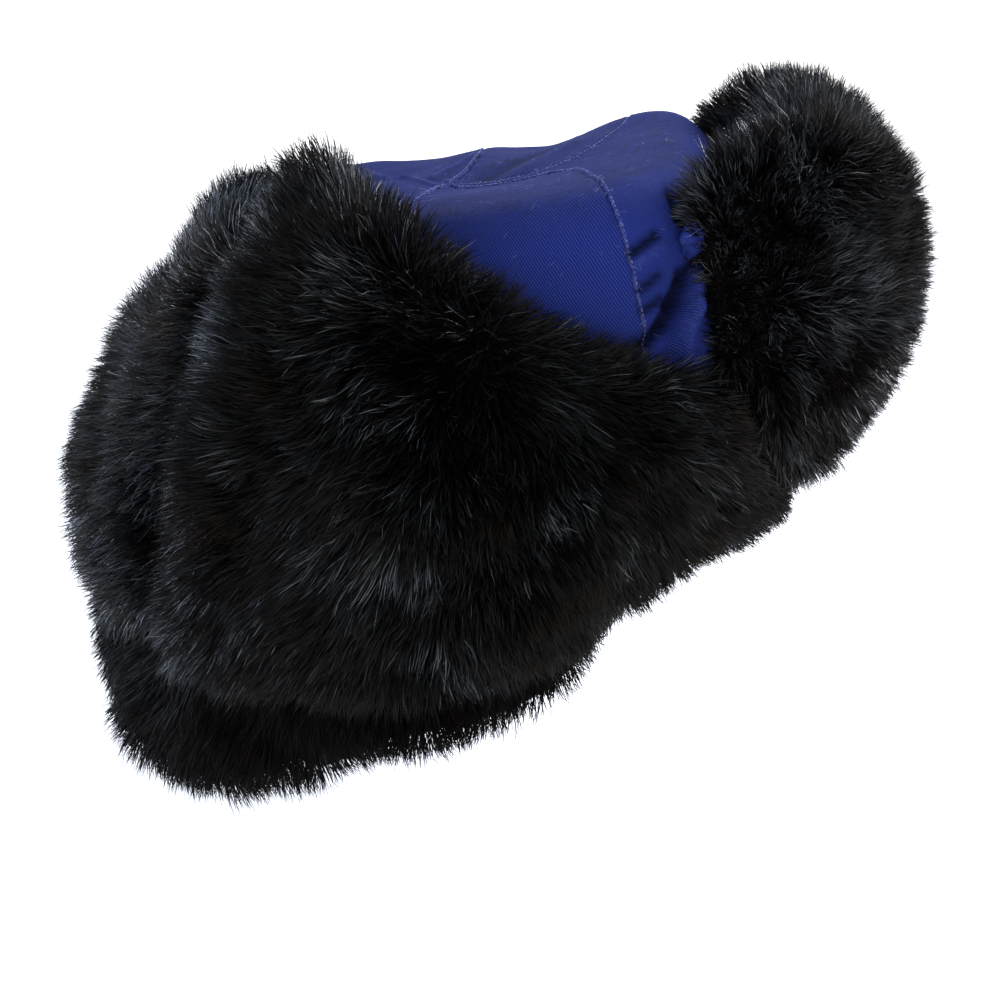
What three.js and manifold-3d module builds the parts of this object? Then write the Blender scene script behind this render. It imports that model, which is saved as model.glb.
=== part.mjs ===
// A fur ushanka: a crown of four twill gores that meet at a sunken middle, with a visor, two ear
// flaps and a neck flap of deep fur turned up round it, and a roll of fur that hangs below the
// fold from ear to ear. Millimetres. +X is the forehead, -Y the wearer's right, +Z up. The
// origin is the centre of the head opening at the height of the brow.
import * as THREE from 'three';
import { mergeVertices } from 'three/addons/utils/BufferGeometryUtils.js';
import Module from 'manifold-3d';

const wasm = await Module();
wasm.setup();

// Driving dimensions of the crown
const clothWall = 2.4; // twill with its padded backing
const pieceGap = 0.4; // clear space between two pieces
const wallTop = 75; // the height above which the crown's walls curve in
const innerPull = { x: 0.35, y: 0.25 }; // how far off the axis the walls' inward ways aim
const axisX = -10; // the upright axis that walls and fur stand round
const plugGrid = { sides: 32, rows: 9, clear: 3 }; // how the fur's back is cut to the crown
const gutter = 150; // how far below the brow the head space is kept clear of fur

// Driving dimensions of the fur
const fleece = 8; // how far the locks stand proud of the dense underfur
const tierPlane = { height: 11, slope: 0.12 }; // the fold between the upper fur and the roll below
const creaseAngle = 138; // degrees from the forehead to the crease behind each ear flap
const tack = { x: 66, y: -64, z: 136.5, wide: 4.5, deep: 4.5, tall: 5.5, knots: 5, lump: 0.16 }; // the knot
const tackClear = 1; // how far the visor's fur keeps from the knot
const visorPlane = { x: 70, z: 98, slope: -1.72 }; // where the visor's corner lies on the ear flap
const sectionRoundness = 2.1; // 2 is an ellipse, more is squarer
const sectionSides = 12;
const sectionsPerRow = 1.4; // sections of the underfur for each step of a table
const thinnest = 2; // the least half size of a section

// Rings of the crown from the rim to its sunken middle: half length and half width of the plan,
// x of its centre, height, rise towards the forehead for each mm, and roundness of the plan.
const crownRings = [
  { long: 103, wide: 84, x: -2, z: 2, rise: 0.3, round: 2.2 },
  { long: 103, wide: 88, x: -2, z: 38, rise: 0.16, round: 2.3 },
  { long: 102, wide: 89, x: -3, z: 74, rise: 0.08, round: 2.4 },
  { long: 97, wide: 86, x: -4, z: 104, rise: 0.09, round: 2.6 },
  { long: 88, wide: 78, x: -7, z: 127, rise: 0.13, round: 2.8 },
  { long: 74, wide: 65, x: -10, z: 141, rise: 0.17, round: 2.7 },
  { long: 55, wide: 48, x: -13, z: 143, rise: 0.17, round: 2.4 },
  { long: 34, wide: 29, x: -17, z: 140, rise: 0.12, round: 2.1 },
  { long: 14, wide: 12, x: -21, z: 137, rise: 0.02, round: 2 },
  { long: 2.4, wide: 2.2, x: -22, z: 136, rise: 0, round: 2 },
];
// Where the seams cross each of those rings, in degrees from the forehead towards the right ear.
const seamPlaces = [
  { front: 62, rear: 124, farRear: 236, farFront: 298 },
  { front: 62, rear: 124, farRear: 238, farFront: 298 },
  { front: 61, rear: 124, farRear: 242, farFront: 299 },
  { front: 61, rear: 125, farRear: 250, farFront: 300 },
  { front: 62, rear: 125, farRear: 260, farFront: 302 },
  { front: 58, rear: 122, farRear: 267, farFront: 308 },
  { front: 43, rear: 116, farRear: 268, farFront: 330 },
  { front: 16, rear: 112, farRear: 270, farFront: 357 },
  { front: 26, rear: 118, farRear: 274, farFront: 358 },
  { front: 45, rear: 135, farRear: 260, farFront: 330 },
];
const crownRows = 11;

const gores = [
  { name: 'crown_front_gore', from: 'farFront', to: 'front', turns: 1, columns: 20 },
  { name: 'crown_right_gore', from: 'front', to: 'rear', turns: 0, columns: 10 },
  { name: 'crown_rear_gore', from: 'rear', to: 'farRear', turns: 0, columns: 12 },
  { name: 'crown_left_gore', from: 'farRear', to: 'farFront', turns: 0, columns: 10 },
];

// Dents and puffs of the slack crown: the middle, the reach and how far the cloth stands out.
const dents = [
  { x: 44, y: -62, z: 146, reach: 26, out: 3 },
  { x: 56, y: 46, z: 150, reach: 24, out: 4 },
  { x: 9, y: 56, z: 146, reach: 33, out: -9 },
  { x: -55, y: 22, z: 136, reach: 24, out: -5 },
  { x: -50, y: -30, z: 136, reach: 22, out: -4 },
  { x: -66, y: 4, z: 134, reach: 16, out: 4 },
  { x: -37, y: 60, z: 137, reach: 38, out: -7 },
];

// Gathers where the cloth is drawn in behind the visor: both ends, half the width, the height.
const gathers = [
  { from: [72, -66, 134], to: [72, -72, 84], wide: 7, high: 4 },
  { from: [62, -75, 130], to: [60, -80, 88], wide: 5, high: -4 },
  { from: [72, 66, 134], to: [72, 72, 84], wide: 7, high: 4 },
  { from: [62, 75, 130], to: [60, 80, 88], wide: 5, high: -4 },
];

// One table for each pad of fur. Its sections stand round the axis at these angles, positive
// towards the right ear. reach and z place a section's middle, deep and tall are its half sizes
// at the hair tips and lean turns its top towards the axis, in degrees. comb is the way the
// hair lies, in degrees from upwards towards growing angles; hair that lies upwards turns
// downwards below the pad's parting.
const earFlapRows = [
  { angle: 20, reach: 113, z: 42, deep: 12, tall: 18, lean: 0, comb: 250 },
  { angle: 28, reach: 113, z: 50, deep: 18, tall: 26, lean: 0, comb: 245 },
  { angle: 42, reach: 113, z: 63, deep: 23, tall: 37, lean: 3, comb: 235 },
  { angle: 60, reach: 110, z: 64, deep: 28, tall: 49, lean: 6, comb: 220 },
  { angle: 80, reach: 107, z: 60, deep: 32, tall: 72, lean: 10, comb: 195 },
  { angle: 100, reach: 105, z: 62, deep: 35, tall: 90, lean: 15, comb: 165 },
  { angle: 118, reach: 103, z: 66, deep: 37, tall: 99, lean: 19, comb: 60 },
  { angle: 131, reach: 104, z: 67, deep: 35, tall: 104, lean: 20, comb: 50 },
  { angle: 142, reach: 104, z: 64, deep: 24, tall: 91, lean: 20, comb: 60 },
];
// The left flap lies lower and flatter than the right one.
const leftEarFlap = { lower: 16, tall: 0.7, lean: 0.6, fromTall: 10, overTall: 40 };
const neckFlapRows = [
  { angle: 133, reach: 106, z: 54, deep: 21, tall: 60, lean: 20, comb: 60 },
  { angle: 145, reach: 108, z: 57, deep: 33, tall: 81, lean: 24, comb: 50 },
  { angle: 163, reach: 112, z: 58, deep: 35, tall: 87, lean: 27, comb: 30 },
  { angle: 180, reach: 115, z: 58, deep: 36, tall: 89, lean: 29, comb: 0 },
];
const napeRollRows = [
  { angle: 64, reach: 103, z: 5, deep: 9, tall: 9, lean: 0, comb: 180 },
  { angle: 71, reach: 104, z: 3, deep: 17, tall: 22, lean: 0, comb: 180 },
  { angle: 84, reach: 105, z: -3, deep: 24, tall: 30, lean: 0, comb: 180 },
  { angle: 104, reach: 106, z: -9, deep: 29, tall: 38, lean: 0, comb: 170 },
  { angle: 128, reach: 110, z: -22, deep: 33, tall: 50, lean: 4, comb: 160 },
  { angle: 152, reach: 117, z: -36, deep: 38, tall: 57, lean: 8, comb: 160 },
  { angle: 180, reach: 122, z: -40, deep: 42, tall: 57, lean: 8, comb: 180 },
];
const visorRows = [
  { angle: 0, reach: 119, z: 107, deep: 43, tall: 75, lean: 0, comb: 0 },
  { angle: 15, reach: 117, z: 107, deep: 42, tall: 73, lean: 0, comb: 20 },
  { angle: 27, reach: 113, z: 108, deep: 34, tall: 66, lean: 3, comb: 35 },
  { angle: 35, reach: 108, z: 112, deep: 25, tall: 50, lean: 4, comb: 45 },
  { angle: 40, reach: 105, z: 115, deep: 13, tall: 30, lean: 4, comb: 45 },
];

// Locks: how wide and long, and how far apart along a row; the rows run round a section, in
// degrees from straight out, 90 being its top.
const lockSize = { halfWide: 20, ridge: 6, sunk: 2.5, length: 54, step: 50, swing: 16 };
const lockScale = { fullAt: 30, least: 0.45, most: 1.05 }; // by the half size of the section
const swingTurns = { along: 2.4, row: 1.7 }; // how the swing changes from lock to lock, in radians
const lockProfile = [
  { along: -0.25, inside: 1.7, size: 0.7 },
  { along: 0.3, inside: 0.75, size: 1 },
  { along: 1, inside: -0.1, size: 0 },
];
const partings = { ear_flap: 0, neck_flap: 15, nape_roll: -180, visor: -20 }; // degrees round the section
const partingWidth = 25;
const tinyStep = 0.01; // for slopes along a table
const walk = { steps: 6, leastStep: 0.3 }; // how a lock is followed over a pad, in mm for each degree
const rowSamples = 60; // how finely a row of locks is measured
const lockRows = {
  ear_flap: [-50, -12, 26, 64, 92],
  neck_flap: [-40, 0, 38, 76],
  nape_roll: [-104, -56, -8],
  visor: [-84, -42, 0, 42, 84],
};

const vector = (x, y, z) => new THREE.Vector3(x, y, z);
const degrees = THREE.MathUtils.degToRad;

// A row between the rows of a table, on a smooth curve through them; t runs from 0 to 1.
function rowAt(rows, t) {
  const place = THREE.MathUtils.clamp(t, 0, 1) * (rows.length - 1);
  const first = Math.min(Math.floor(place), rows.length - 2);
  const at = (i) => rows[THREE.MathUtils.clamp(i, 0, rows.length - 1)];
  const s = place - first;
  const row = {};
  for (const key of Object.keys(rows[0])) {
    const [a, b, c, d] = [at(first - 1), at(first), at(first + 1), at(first + 2)].map((r) => r[key]);
    row[key] = b + 0.5 * s * (c - a + s * (2 * a - 5 * b + 4 * c - d + s * (3 * (b - c) + d - a)));
  }
  return row;
}

const superPower = (value, roundness) => Math.sign(value) * Math.abs(value) ** (2 / roundness);

// The way into the crown from a point of its wall, the same for both gores at a seam.
function inward(point) {
  const aimX = axisX + innerPull.x * (point.x - axisX);
  const target = vector(aimX, innerPull.y * point.y, Math.min(point.z, wallTop));
  return target.sub(point).normalize();
}

// How far the cloth stands out of its plain shape at a point.
function relief(point) {
  let out = 0;
  for (const dent of dents) {
    const away = point.distanceTo(vector(dent.x, dent.y, dent.z)) / dent.reach;
    out += dent.out * Math.exp(-2 * away * away);
  }
  for (const gather of gathers) {
    const line = new THREE.Line3(vector(...gather.from), vector(...gather.to));
    const nearest = line.closestPointToPoint(point, true, vector(0, 0, 0));
    const away = point.distanceTo(nearest) / gather.wide;
    out += gather.high * Math.exp(-away * away);
  }
  return out;
}

// The crown's outer face: up from the rim, 0, to the middle, 1, and degrees round it.
function crownPoint(up, angle, grow = 0) {
  const ring = rowAt(crownRings, up);
  const a = degrees(angle);
  const along = ring.long * superPower(Math.cos(a), ring.round);
  const across = ring.wide * superPower(Math.sin(a), ring.round);
  const point = vector(ring.x + along, -across, ring.z + ring.rise * along);
  return point.addScaledVector(inward(point), -relief(point) - grow);
}

// The angle of one column of a gore in the ring at this height.
function goreAngle(gore, up, share) {
  const places = rowAt(seamPlaces, up);
  return THREE.MathUtils.lerp(places[gore.from] - 360 * gore.turns, places[gore.to], share);
}

// A closed solid from points and triangles.
function solidFrom(points, triangles) {
  const positions = new Float32Array(points.length * 3);
  points.forEach((p, i) => positions.set([p.x, p.y, p.z], 3 * i));
  const raw = new THREE.BufferGeometry();
  raw.setAttribute('position', new THREE.BufferAttribute(positions, 3));
  raw.setIndex(triangles);
  const merged = mergeVertices(raw, 1e-3);
  const corners = merged.index.array;
  const kept = [];
  for (let i = 0; i < corners.length; i += 3) {
    const [a, b, c] = corners.slice(i, i + 3);
    if (a !== b && b !== c && c !== a) kept.push(a, b, c);
  }
  const vertProperties = merged.attributes.position.array;
  return new wasm.Manifold(new wasm.Mesh({ numProp: 3, vertProperties, triVerts: new Uint32Array(kept) }));
}

function solidFromGeometry(geometry) {
  const position = geometry.attributes.position;
  const points = [];
  for (let i = 0; i < position.count; i++) points.push(vector().fromBufferAttribute(position, i));
  const triangles = geometry.index ? [...geometry.index.array] : points.map((p, i) => i);
  return solidFrom(points, triangles);
}

// Triangles of a grid of rows by columns whose corners are numbered row by row.
function gridTriangles(rows, columns, start, flip) {
  const triangles = [];
  for (let i = 0; i < rows; i++) {
    for (let j = 0; j < columns; j++) {
      const a = start + i * (columns + 1) + j;
      const b = a + columns + 1;
      if (flip) triangles.push(a, b, a + 1, a + 1, b, b + 1);
      else triangles.push(a, a + 1, b, a + 1, b + 1, b);
    }
  }
  return triangles;
}

// One gore: its outer face, an inner face a wall further in, and the four edges.
function goreSolid(gore) {
  const outer = [];
  for (let i = 0; i <= crownRows; i++) {
    const up = i / crownRows;
    const place = (share) => crownPoint(up, goreAngle(gore, up, share));
    const step = 1 / gore.columns;
    const start = (step * pieceGap) / 2 / place(0).distanceTo(place(step));
    const end = 1 - (step * pieceGap) / 2 / place(1).distanceTo(place(1 - step));
    for (let j = 0; j <= gore.columns; j++) outer.push(place(THREE.MathUtils.lerp(start, end, j * step)));
  }
  const inner = outer.map((p) => p.clone().addScaledVector(inward(p), clothWall));
  const half = outer.length;
  const triangles = gridTriangles(crownRows, gore.columns, 0, true);
  triangles.push(...gridTriangles(crownRows, gore.columns, half, false));
  const at = (i, j) => i * (gore.columns + 1) + j;
  const loop = [];
  for (let j = 0; j < gore.columns; j++) loop.push(at(0, j));
  for (let i = 0; i < crownRows; i++) loop.push(at(i, gore.columns));
  for (let j = gore.columns; j > 0; j--) loop.push(at(crownRows, j));
  for (let i = crownRows; i > 0; i--) loop.push(at(i, 0));
  loop.forEach((a, k) => {
    const b = loop[(k + 1) % loop.length];
    triangles.push(a, b, a + half, b, b + half, a + half);
  });
  return solidFrom([...outer, ...inner], triangles);
}

// All that the crown takes up with clear space round it, closed, and carried on down below the
// rim, to cut the fur with.
function crownPlug() {
  const points = [];
  for (let i = -1; i <= plugGrid.rows; i++) {
    for (let j = 0; j < plugGrid.sides; j++) {
      const point = crownPoint(Math.max(i, 0) / plugGrid.rows, (360 * j) / plugGrid.sides, plugGrid.clear);
      if (i < 0) point.z = -gutter;
      points.push(point);
    }
  }
  const triangles = [];
  const sides = plugGrid.sides;
  const last = (plugGrid.rows + 1) * sides;
  for (let i = 0; i < last; i += sides) {
    for (let j = 0; j < sides; j++) {
      const a = i + j;
      const b = i + (j + 1) % sides;
      triangles.push(a, a + sides, b, b, a + sides, b + sides);
    }
  }
  const middle = crownRings.at(-1);
  const bottom = points.push(vector(axisX, 0, -gutter)) - 1;
  const top = points.push(vector(middle.x, 0, middle.z + plugGrid.clear)) - 1;
  for (let j = 0; j < sides; j++) {
    const next = (j + 1) % sides;
    triangles.push(bottom, j, next);
    triangles.push(top, last + next, last + j);
  }
  return solidFrom(points, triangles);
}

// A point of a pad: t along its table, around a section in degrees, and how far inside the tips.
function padPoint(rows, t, around, inside) {
  const row = rowAt(rows, t);
  const a = degrees(around);
  const out = Math.max(row.deep - inside, thinnest) * superPower(Math.cos(a), sectionRoundness);
  const up = Math.max(row.tall - inside, thinnest) * superPower(Math.sin(a), sectionRoundness);
  const lean = degrees(row.lean);
  const radial = row.reach + out * Math.cos(lean) - up * Math.sin(lean);
  const turn = degrees(row.angle);
  const z = row.z + out * Math.sin(lean) + up * Math.cos(lean);
  return vector(axisX + radial * Math.cos(turn), -radial * Math.sin(turn), z);
}

// The dense underfur of a pad.
function padCore(rows) {
  const sections = Math.round(sectionsPerRow * (rows.length - 1));
  const points = [];
  for (let i = 0; i <= sections; i++) {
    for (let j = 0; j < sectionSides; j++) {
      points.push(padPoint(rows, i / sections, (360 * j) / sectionSides, fleece));
    }
  }
  const triangles = [];
  for (let i = 0; i < sections; i++) {
    for (let j = 0; j < sectionSides; j++) {
      const a = i * sectionSides + j;
      const b = i * sectionSides + (j + 1) % sectionSides;
      triangles.push(a, b, a + sectionSides, b, b + sectionSides, a + sectionSides);
    }
  }
  const last = sections * sectionSides;
  for (let j = 1; j < sectionSides - 1; j++) {
    triangles.push(0, j + 1, j);
    triangles.push(last, last + j, last + j + 1);
  }
  return solidFrom(points, triangles);
}

// The ways along the table and up round the section at a point of a pad, in mm for each unit,
// and the way out of it.
function padFrame(rows, t, around) {
  const here = padPoint(rows, t, around, fleece);
  const ahead = padPoint(rows, t + tinyStep, around, fleece).sub(here).divideScalar(tinyStep);
  const upward = padPoint(rows, t, around + 1, fleece).sub(here);
  return { ahead, upward, normal: upward.clone().cross(ahead).normalize() };
}

// The share of a mm that hair goes up the section for each mm of its way.
function climbShare(turn, around, parting) {
  const climb = Math.cos(turn);
  return climb > 0 ? climb * THREE.MathUtils.clamp((around - parting) / partingWidth, -1, 1) : climb;
}

// Walks some mm over a pad in a direction, in short steps.
function walkPad(rows, t, around, turn, parting, distance) {
  const climb = climbShare(turn, around, parting);
  const place = { t, around };
  for (let i = 0; i < walk.steps; i++) {
    const { ahead, upward } = padFrame(rows, place.t, place.around);
    place.t += (Math.sin(turn) * distance) / walk.steps / Math.max(ahead.length(), 1);
    place.around += (climb * distance) / walk.steps / Math.max(upward.length(), walk.leastStep);
  }
  return place;
}

// One lock: it leaves the underfur at a root, lies along the comb and tapers to a tip that
// ends where the hair tips are.
function lockSolid(rows, t, around, parting, scale, swing) {
  const turn = degrees(rowAt(rows, t).comb + swing);
  const length = lockSize.length * scale;
  const places = lockProfile.map((ring) => walkPad(rows, t, around, turn, parting, ring.along * length));
  const middles = places.map((place, i) => {
    return padPoint(rows, place.t, place.around, fleece * lockProfile[i].inside);
  });
  const normal = padFrame(rows, t, around).normal;
  const side = middles.at(-1).clone().sub(middles[0]).cross(normal).normalize();
  const points = [];
  lockProfile.slice(0, -1).forEach((ring, i) => {
    const wide = lockSize.halfWide * ring.size * scale;
    const low = middles[i].clone().addScaledVector(normal, -lockSize.sunk);
    points.push(low.clone().addScaledVector(side, wide));
    points.push(middles[i].clone().addScaledVector(normal, lockSize.ridge * ring.size * scale));
    points.push(low.clone().addScaledVector(side, -wide));
  });
  const tip = points.push(middles.at(-1)) - 1;
  const triangles = [0, 1, 2];
  for (let j = 0; j < 3; j++) {
    const next = (j + 1) % 3;
    triangles.push(j, 3 + j, next, next, 3 + j, 3 + next);
    triangles.push(3 + j, tip, 3 + next);
  }
  return solidFrom(points, triangles);
}

// A pad with its locks in staggered rows.
function furPad(rows, kind) {
  let pad = padCore(rows);
  lockRows[kind].forEach((around, k) => {
    const middles = [];
    let run = (k % 2) * (lockSize.step / 2);
    for (let i = 1; i < rowSamples; i++) {
      const t = i / rowSamples;
      const here = padPoint(rows, t, around, 0);
      run += here.distanceTo(padPoint(rows, t - 1 / rowSamples, around, 0));
      if (run < lockSize.step) continue;
      run -= lockSize.step;
      middles.push(t);
    }
    middles.forEach((t, i) => {
      const row = rowAt(rows, t);
      const size = Math.min(row.deep, row.tall) / lockScale.fullAt;
      const scale = THREE.MathUtils.clamp(size, lockScale.least, lockScale.most);
      const swing = lockSize.swing * Math.sin(swingTurns.along * i + swingTurns.row * k);
      pad = pad.add(lockSolid(rows, t, around, partings[kind], scale, swing));
    });
  });
  return pad;
}

// A big block that fills all on one side of a plane, to cut with.
function sideOf(point, facing) {
  const reach = 700;
  const block = new THREE.BoxGeometry(reach, reach, reach).toNonIndexed();
  block.deleteAttribute('normal');
  block.deleteAttribute('uv');
  block.translate(0, 0, reach / 2);
  const turn = new THREE.Quaternion().setFromUnitVectors(vector(0, 0, 1), facing.clone().normalize());
  block.applyQuaternion(turn);
  const start = point.clone().addScaledVector(facing.clone().normalize(), pieceGap / 2);
  block.translate(start.x, start.y, start.z);
  return solidFromGeometry(block);
}

const otherSide = (rows) => rows.map((row) => ({ ...row, angle: -row.angle, comb: -row.comb })).reverse();

// A pad that goes on round the back: the comb runs on from the middle row without a jump.
function bothSides(rows) {
  const middle = rows.at(-1).comb;
  const far = rows.map((row) => ({ ...row, angle: 360 - row.angle, comb: 2 * middle - row.comb }));
  return [...rows.slice(0, -1), ...far.reverse()];
}

const roundFront = (rows) => [...otherSide(rows), ...rows.slice(1)];

const plug = crownPlug();
const tierPoint = vector(0, 0, tierPlane.height);
const tierUp = vector(-tierPlane.slope, 0, 1);
const visorPoint = vector(visorPlane.x, 0, visorPlane.z);
const visorFacing = vector(-visorPlane.slope, 0, 1);
const upper = sideOf(tierPoint, tierUp);
const lower = sideOf(tierPoint, tierUp.clone().negate());
const aheadOfVisor = sideOf(visorPoint, visorFacing);
const behindVisor = sideOf(visorPoint, visorFacing.clone().negate());

// The side of a crease that faces the forehead; hand is 1 on the right and -1 on the left.
function creaseSide(hand, facingFront) {
  const a = degrees(creaseAngle);
  const facing = vector(Math.sin(a), hand * Math.cos(a), 0).multiplyScalar(facingFront ? 1 : -1);
  return sideOf(vector(axisX, 0, 0), facing);
}

// A row of the left flap, flattened in full where the flap is tall.
function flattenedRow(row) {
  const share = Math.min(1, (row.tall - leftEarFlap.fromTall) / leftEarFlap.overTall);
  const tall = row.tall * THREE.MathUtils.lerp(1, leftEarFlap.tall, share);
  return { ...row, z: row.z - leftEarFlap.lower * share, tall, lean: row.lean * leftEarFlap.lean };
}

const earFlapRight = furPad(earFlapRows, 'ear_flap').subtract(plug)
  .intersect(upper).intersect(behindVisor).intersect(creaseSide(1, true));
const earFlapLeft = furPad(otherSide(earFlapRows.map(flattenedRow)), 'ear_flap').subtract(plug)
  .intersect(upper).intersect(behindVisor).intersect(creaseSide(-1, true));
const neckFlap = furPad(bothSides(neckFlapRows), 'neck_flap').subtract(plug).intersect(upper)
  .intersect(creaseSide(1, false)).intersect(creaseSide(-1, false));
const napeRoll = furPad(bothSides(napeRollRows), 'nape_roll').subtract(plug).intersect(lower);

// The knot of gathered twill that holds the visor's corner, grown by some mm.
function tackSolid(grow) {
  const ball = new THREE.IcosahedronGeometry(1, 1);
  const position = ball.attributes.position;
  const out = vector(tack.x - axisX, tack.y, 0).normalize();
  const across = vector(out.y, -out.x, 0);
  const points = [];
  for (let i = 0; i < position.count; i++) {
    const p = vector().fromBufferAttribute(position, i);
    const lump = 1 + tack.lump * Math.sin(tack.knots * Math.atan2(p.z, p.x)) * (1 - p.y * p.y);
    const middle = vector(tack.x, tack.y, tack.z).addScaledVector(across, p.x * (tack.wide * lump + grow));
    middle.addScaledVector(out, p.y * (tack.deep + grow));
    points.push(middle.add(vector(0, 0, p.z * (tack.tall * lump + grow))));
  }
  return solidFrom(points, points.map((p, i) => i));
}

const visorTack = tackSolid(0).subtract(plug);
const visor = furPad(roundFront(visorRows), 'visor').subtract(plug).intersect(aheadOfVisor)
  .subtract(tackSolid(tackClear));

const navyTwill = { color: 0x27346b, roughness: 0.92, metalness: 0 };
const blackFur = { color: 0x15161a, roughness: 0.75, metalness: 0 };

// The triangles of the biggest body in a mesh, without the crumbs that cuts leave.
function biggestBody(triVerts) {
  const root = new Map();
  const find = (v) => {
    while (root.get(v) !== v) v = root.get(v);
    return v;
  };
  for (const v of triVerts) if (!root.has(v)) root.set(v, v);
  for (let i = 0; i < triVerts.length; i += 3) {
    const a = find(triVerts[i]);
    root.set(find(triVerts[i + 1]), a);
    root.set(find(triVerts[i + 2]), a);
  }
  const bodies = new Map();
  for (let i = 0; i < triVerts.length; i += 3) {
    const a = find(triVerts[i]);
    if (!bodies.has(a)) bodies.set(a, []);
    bodies.get(a).push(triVerts[i], triVerts[i + 1], triVerts[i + 2]);
  }
  return [...bodies.values()].sort((a, b) => b.length - a.length)[0];
}

function meshFrom(name, solid, look) {
  const mesh = solid.getMesh();
  const geometry = new THREE.BufferGeometry();
  geometry.setAttribute('position', new THREE.BufferAttribute(new Float32Array(mesh.vertProperties), 3));
  geometry.setIndex(biggestBody(mesh.triVerts));
  const flat = geometry.toNonIndexed();
  flat.computeVertexNormals();
  const piece = new THREE.Mesh(flat, new THREE.MeshStandardMaterial(look));
  piece.name = name;
  return piece;
}

const ushanka = new THREE.Group();
ushanka.name = 'ushanka';
for (const gore of gores) ushanka.add(meshFrom(gore.name, goreSolid(gore), navyTwill));
ushanka.add(meshFrom('ear_flap_right', earFlapRight, blackFur));
ushanka.add(meshFrom('ear_flap_left', earFlapLeft, blackFur));
ushanka.add(meshFrom('neck_flap', neckFlap, blackFur));
ushanka.add(meshFrom('nape_roll', napeRoll, blackFur));
ushanka.add(meshFrom('visor', visor, blackFur));
ushanka.add(meshFrom('visor_tack', visorTack, navyTwill));

export default ushanka;
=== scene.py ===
import math
from functools import partial

import bmesh
import bpy
import numpy as np
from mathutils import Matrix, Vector, kdtree, noise


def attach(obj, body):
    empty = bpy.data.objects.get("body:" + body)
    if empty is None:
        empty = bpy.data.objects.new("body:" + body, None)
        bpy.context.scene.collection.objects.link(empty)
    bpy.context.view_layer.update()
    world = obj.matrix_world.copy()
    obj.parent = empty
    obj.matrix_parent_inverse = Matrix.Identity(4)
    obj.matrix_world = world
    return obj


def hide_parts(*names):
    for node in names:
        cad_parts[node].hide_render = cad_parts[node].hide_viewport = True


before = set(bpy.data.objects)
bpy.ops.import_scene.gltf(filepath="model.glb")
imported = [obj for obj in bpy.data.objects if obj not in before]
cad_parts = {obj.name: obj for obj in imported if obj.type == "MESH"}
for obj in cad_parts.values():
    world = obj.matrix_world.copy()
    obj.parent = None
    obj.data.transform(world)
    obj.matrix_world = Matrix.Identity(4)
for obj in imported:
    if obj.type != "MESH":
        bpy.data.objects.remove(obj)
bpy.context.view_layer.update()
mm = 0.001


def linearColour(hexValue):
    parts = [int(hexValue[i : i + 2], 16) / 255 for i in (1, 3, 5)]
    return [c / 12.92 if c <= 0.04045 else ((c + 0.055) / 1.055) ** 2.4 for c in parts] + [1.0]


def addNode(tree, kind, inputs=None, out=None, **settings):
    # adds a node, sets it, fills or links its sockets and gives back the output asked for
    node = tree.nodes.new(kind)
    for key, value in settings.items():
        setattr(node, key, value)
    for key, value in (inputs or {}).items():
        socket = next(s for i, s in enumerate(node.inputs) if i == key or (s.name == key and s.enabled))
        if isinstance(value, bpy.types.NodeSocket):
            tree.links.new(value, socket)
        elif isinstance(value, str) and value.startswith("#"):
            socket.default_value = linearColour(value)
        else:
            socket.default_value = value
    if out == "node":
        return node
    outputs = [s for s in node.outputs if s.enabled]
    return outputs[0] if out is None else next(s for s in outputs if s.name == out)


def newMaterial(name, roughness, specular, sheen=0.0, sheenColour="#ffffff"):
    # a material with one plain shader, and the function that adds nodes to it
    material = bpy.data.materials.new(name)
    material.use_nodes = True
    shader = material.node_tree.nodes["Principled BSDF"]
    shader.inputs["Roughness"].default_value = roughness
    shader.inputs["Specular IOR Level"].default_value = specular
    shader.inputs["Sheen Weight"].default_value = sheen
    shader.inputs["Sheen Tint"].default_value = linearColour(sheenColour)
    return material, partial(addNode, material.node_tree)


def finishMaterial(material, colour, normal=None):
    tree = material.node_tree
    shader = tree.nodes["Principled BSDF"]
    tree.links.new(colour, shader.inputs["Base Color"])
    if normal is not None:
        tree.links.new(normal, shader.inputs["Normal"])
    return material


def newObject(name, data):
    piece = bpy.data.objects.new(name, data)
    bpy.context.collection.objects.link(piece)
    return piece


# camera, floor and light
view = {
    "turn": 6.0,  # degrees round from the hat's side towards its front
    "away": 600.0,
    "height": 292.0,
    "aside": -4.0,
    "aimHeight": 10.0,
    "lens": 60.3,
    "sensor": 36.0,
}
studio = {
    "floorHeight": -160.0,
    "floorReach": 8.0,  # metres
    "floorColours": ("#f4f4f2", "#efefee"),
    "sky": 0.62,
    # in metres and watts: name, place, aim, size, power, colour
    "lamps": [
        ("key_lamp", (0.7, -0.1, 0.95), (0, 0, 0.02), 0.6, 2.2, "#edf2ff"),
        ("side_lamp", (-1.0, -0.05, 0.38), (0, 0, 0.05), 0.5, 14.0, "#d8e4ff"),
        ("back_lamp", (-0.75, 0.85, 0.55), (0, 0, 0.05), 0.6, 1.0, "#cfe0ff"),
        ("rim_lamp", (0.85, 0.6, 0.7), (0.1, 0, 0.1), 0.5, 22.0, "#eef2ff"),
        ("fill_lamp", (0.6, -1.0, 0.25), (0, 0, 0.02), 0.8, 3.2, "#ffe9cf"),
        ("far_lamp", (-0.2, 2.2, 1.4), (-0.2, 2.6, -0.16), 1.6, 45.0, "#ffffff"),  # on the floor behind
    ],
}


def lookAt(place, aim):
    return (Vector(aim) - Vector(place)).to_track_quat("-Z", "Y").to_euler()


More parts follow.
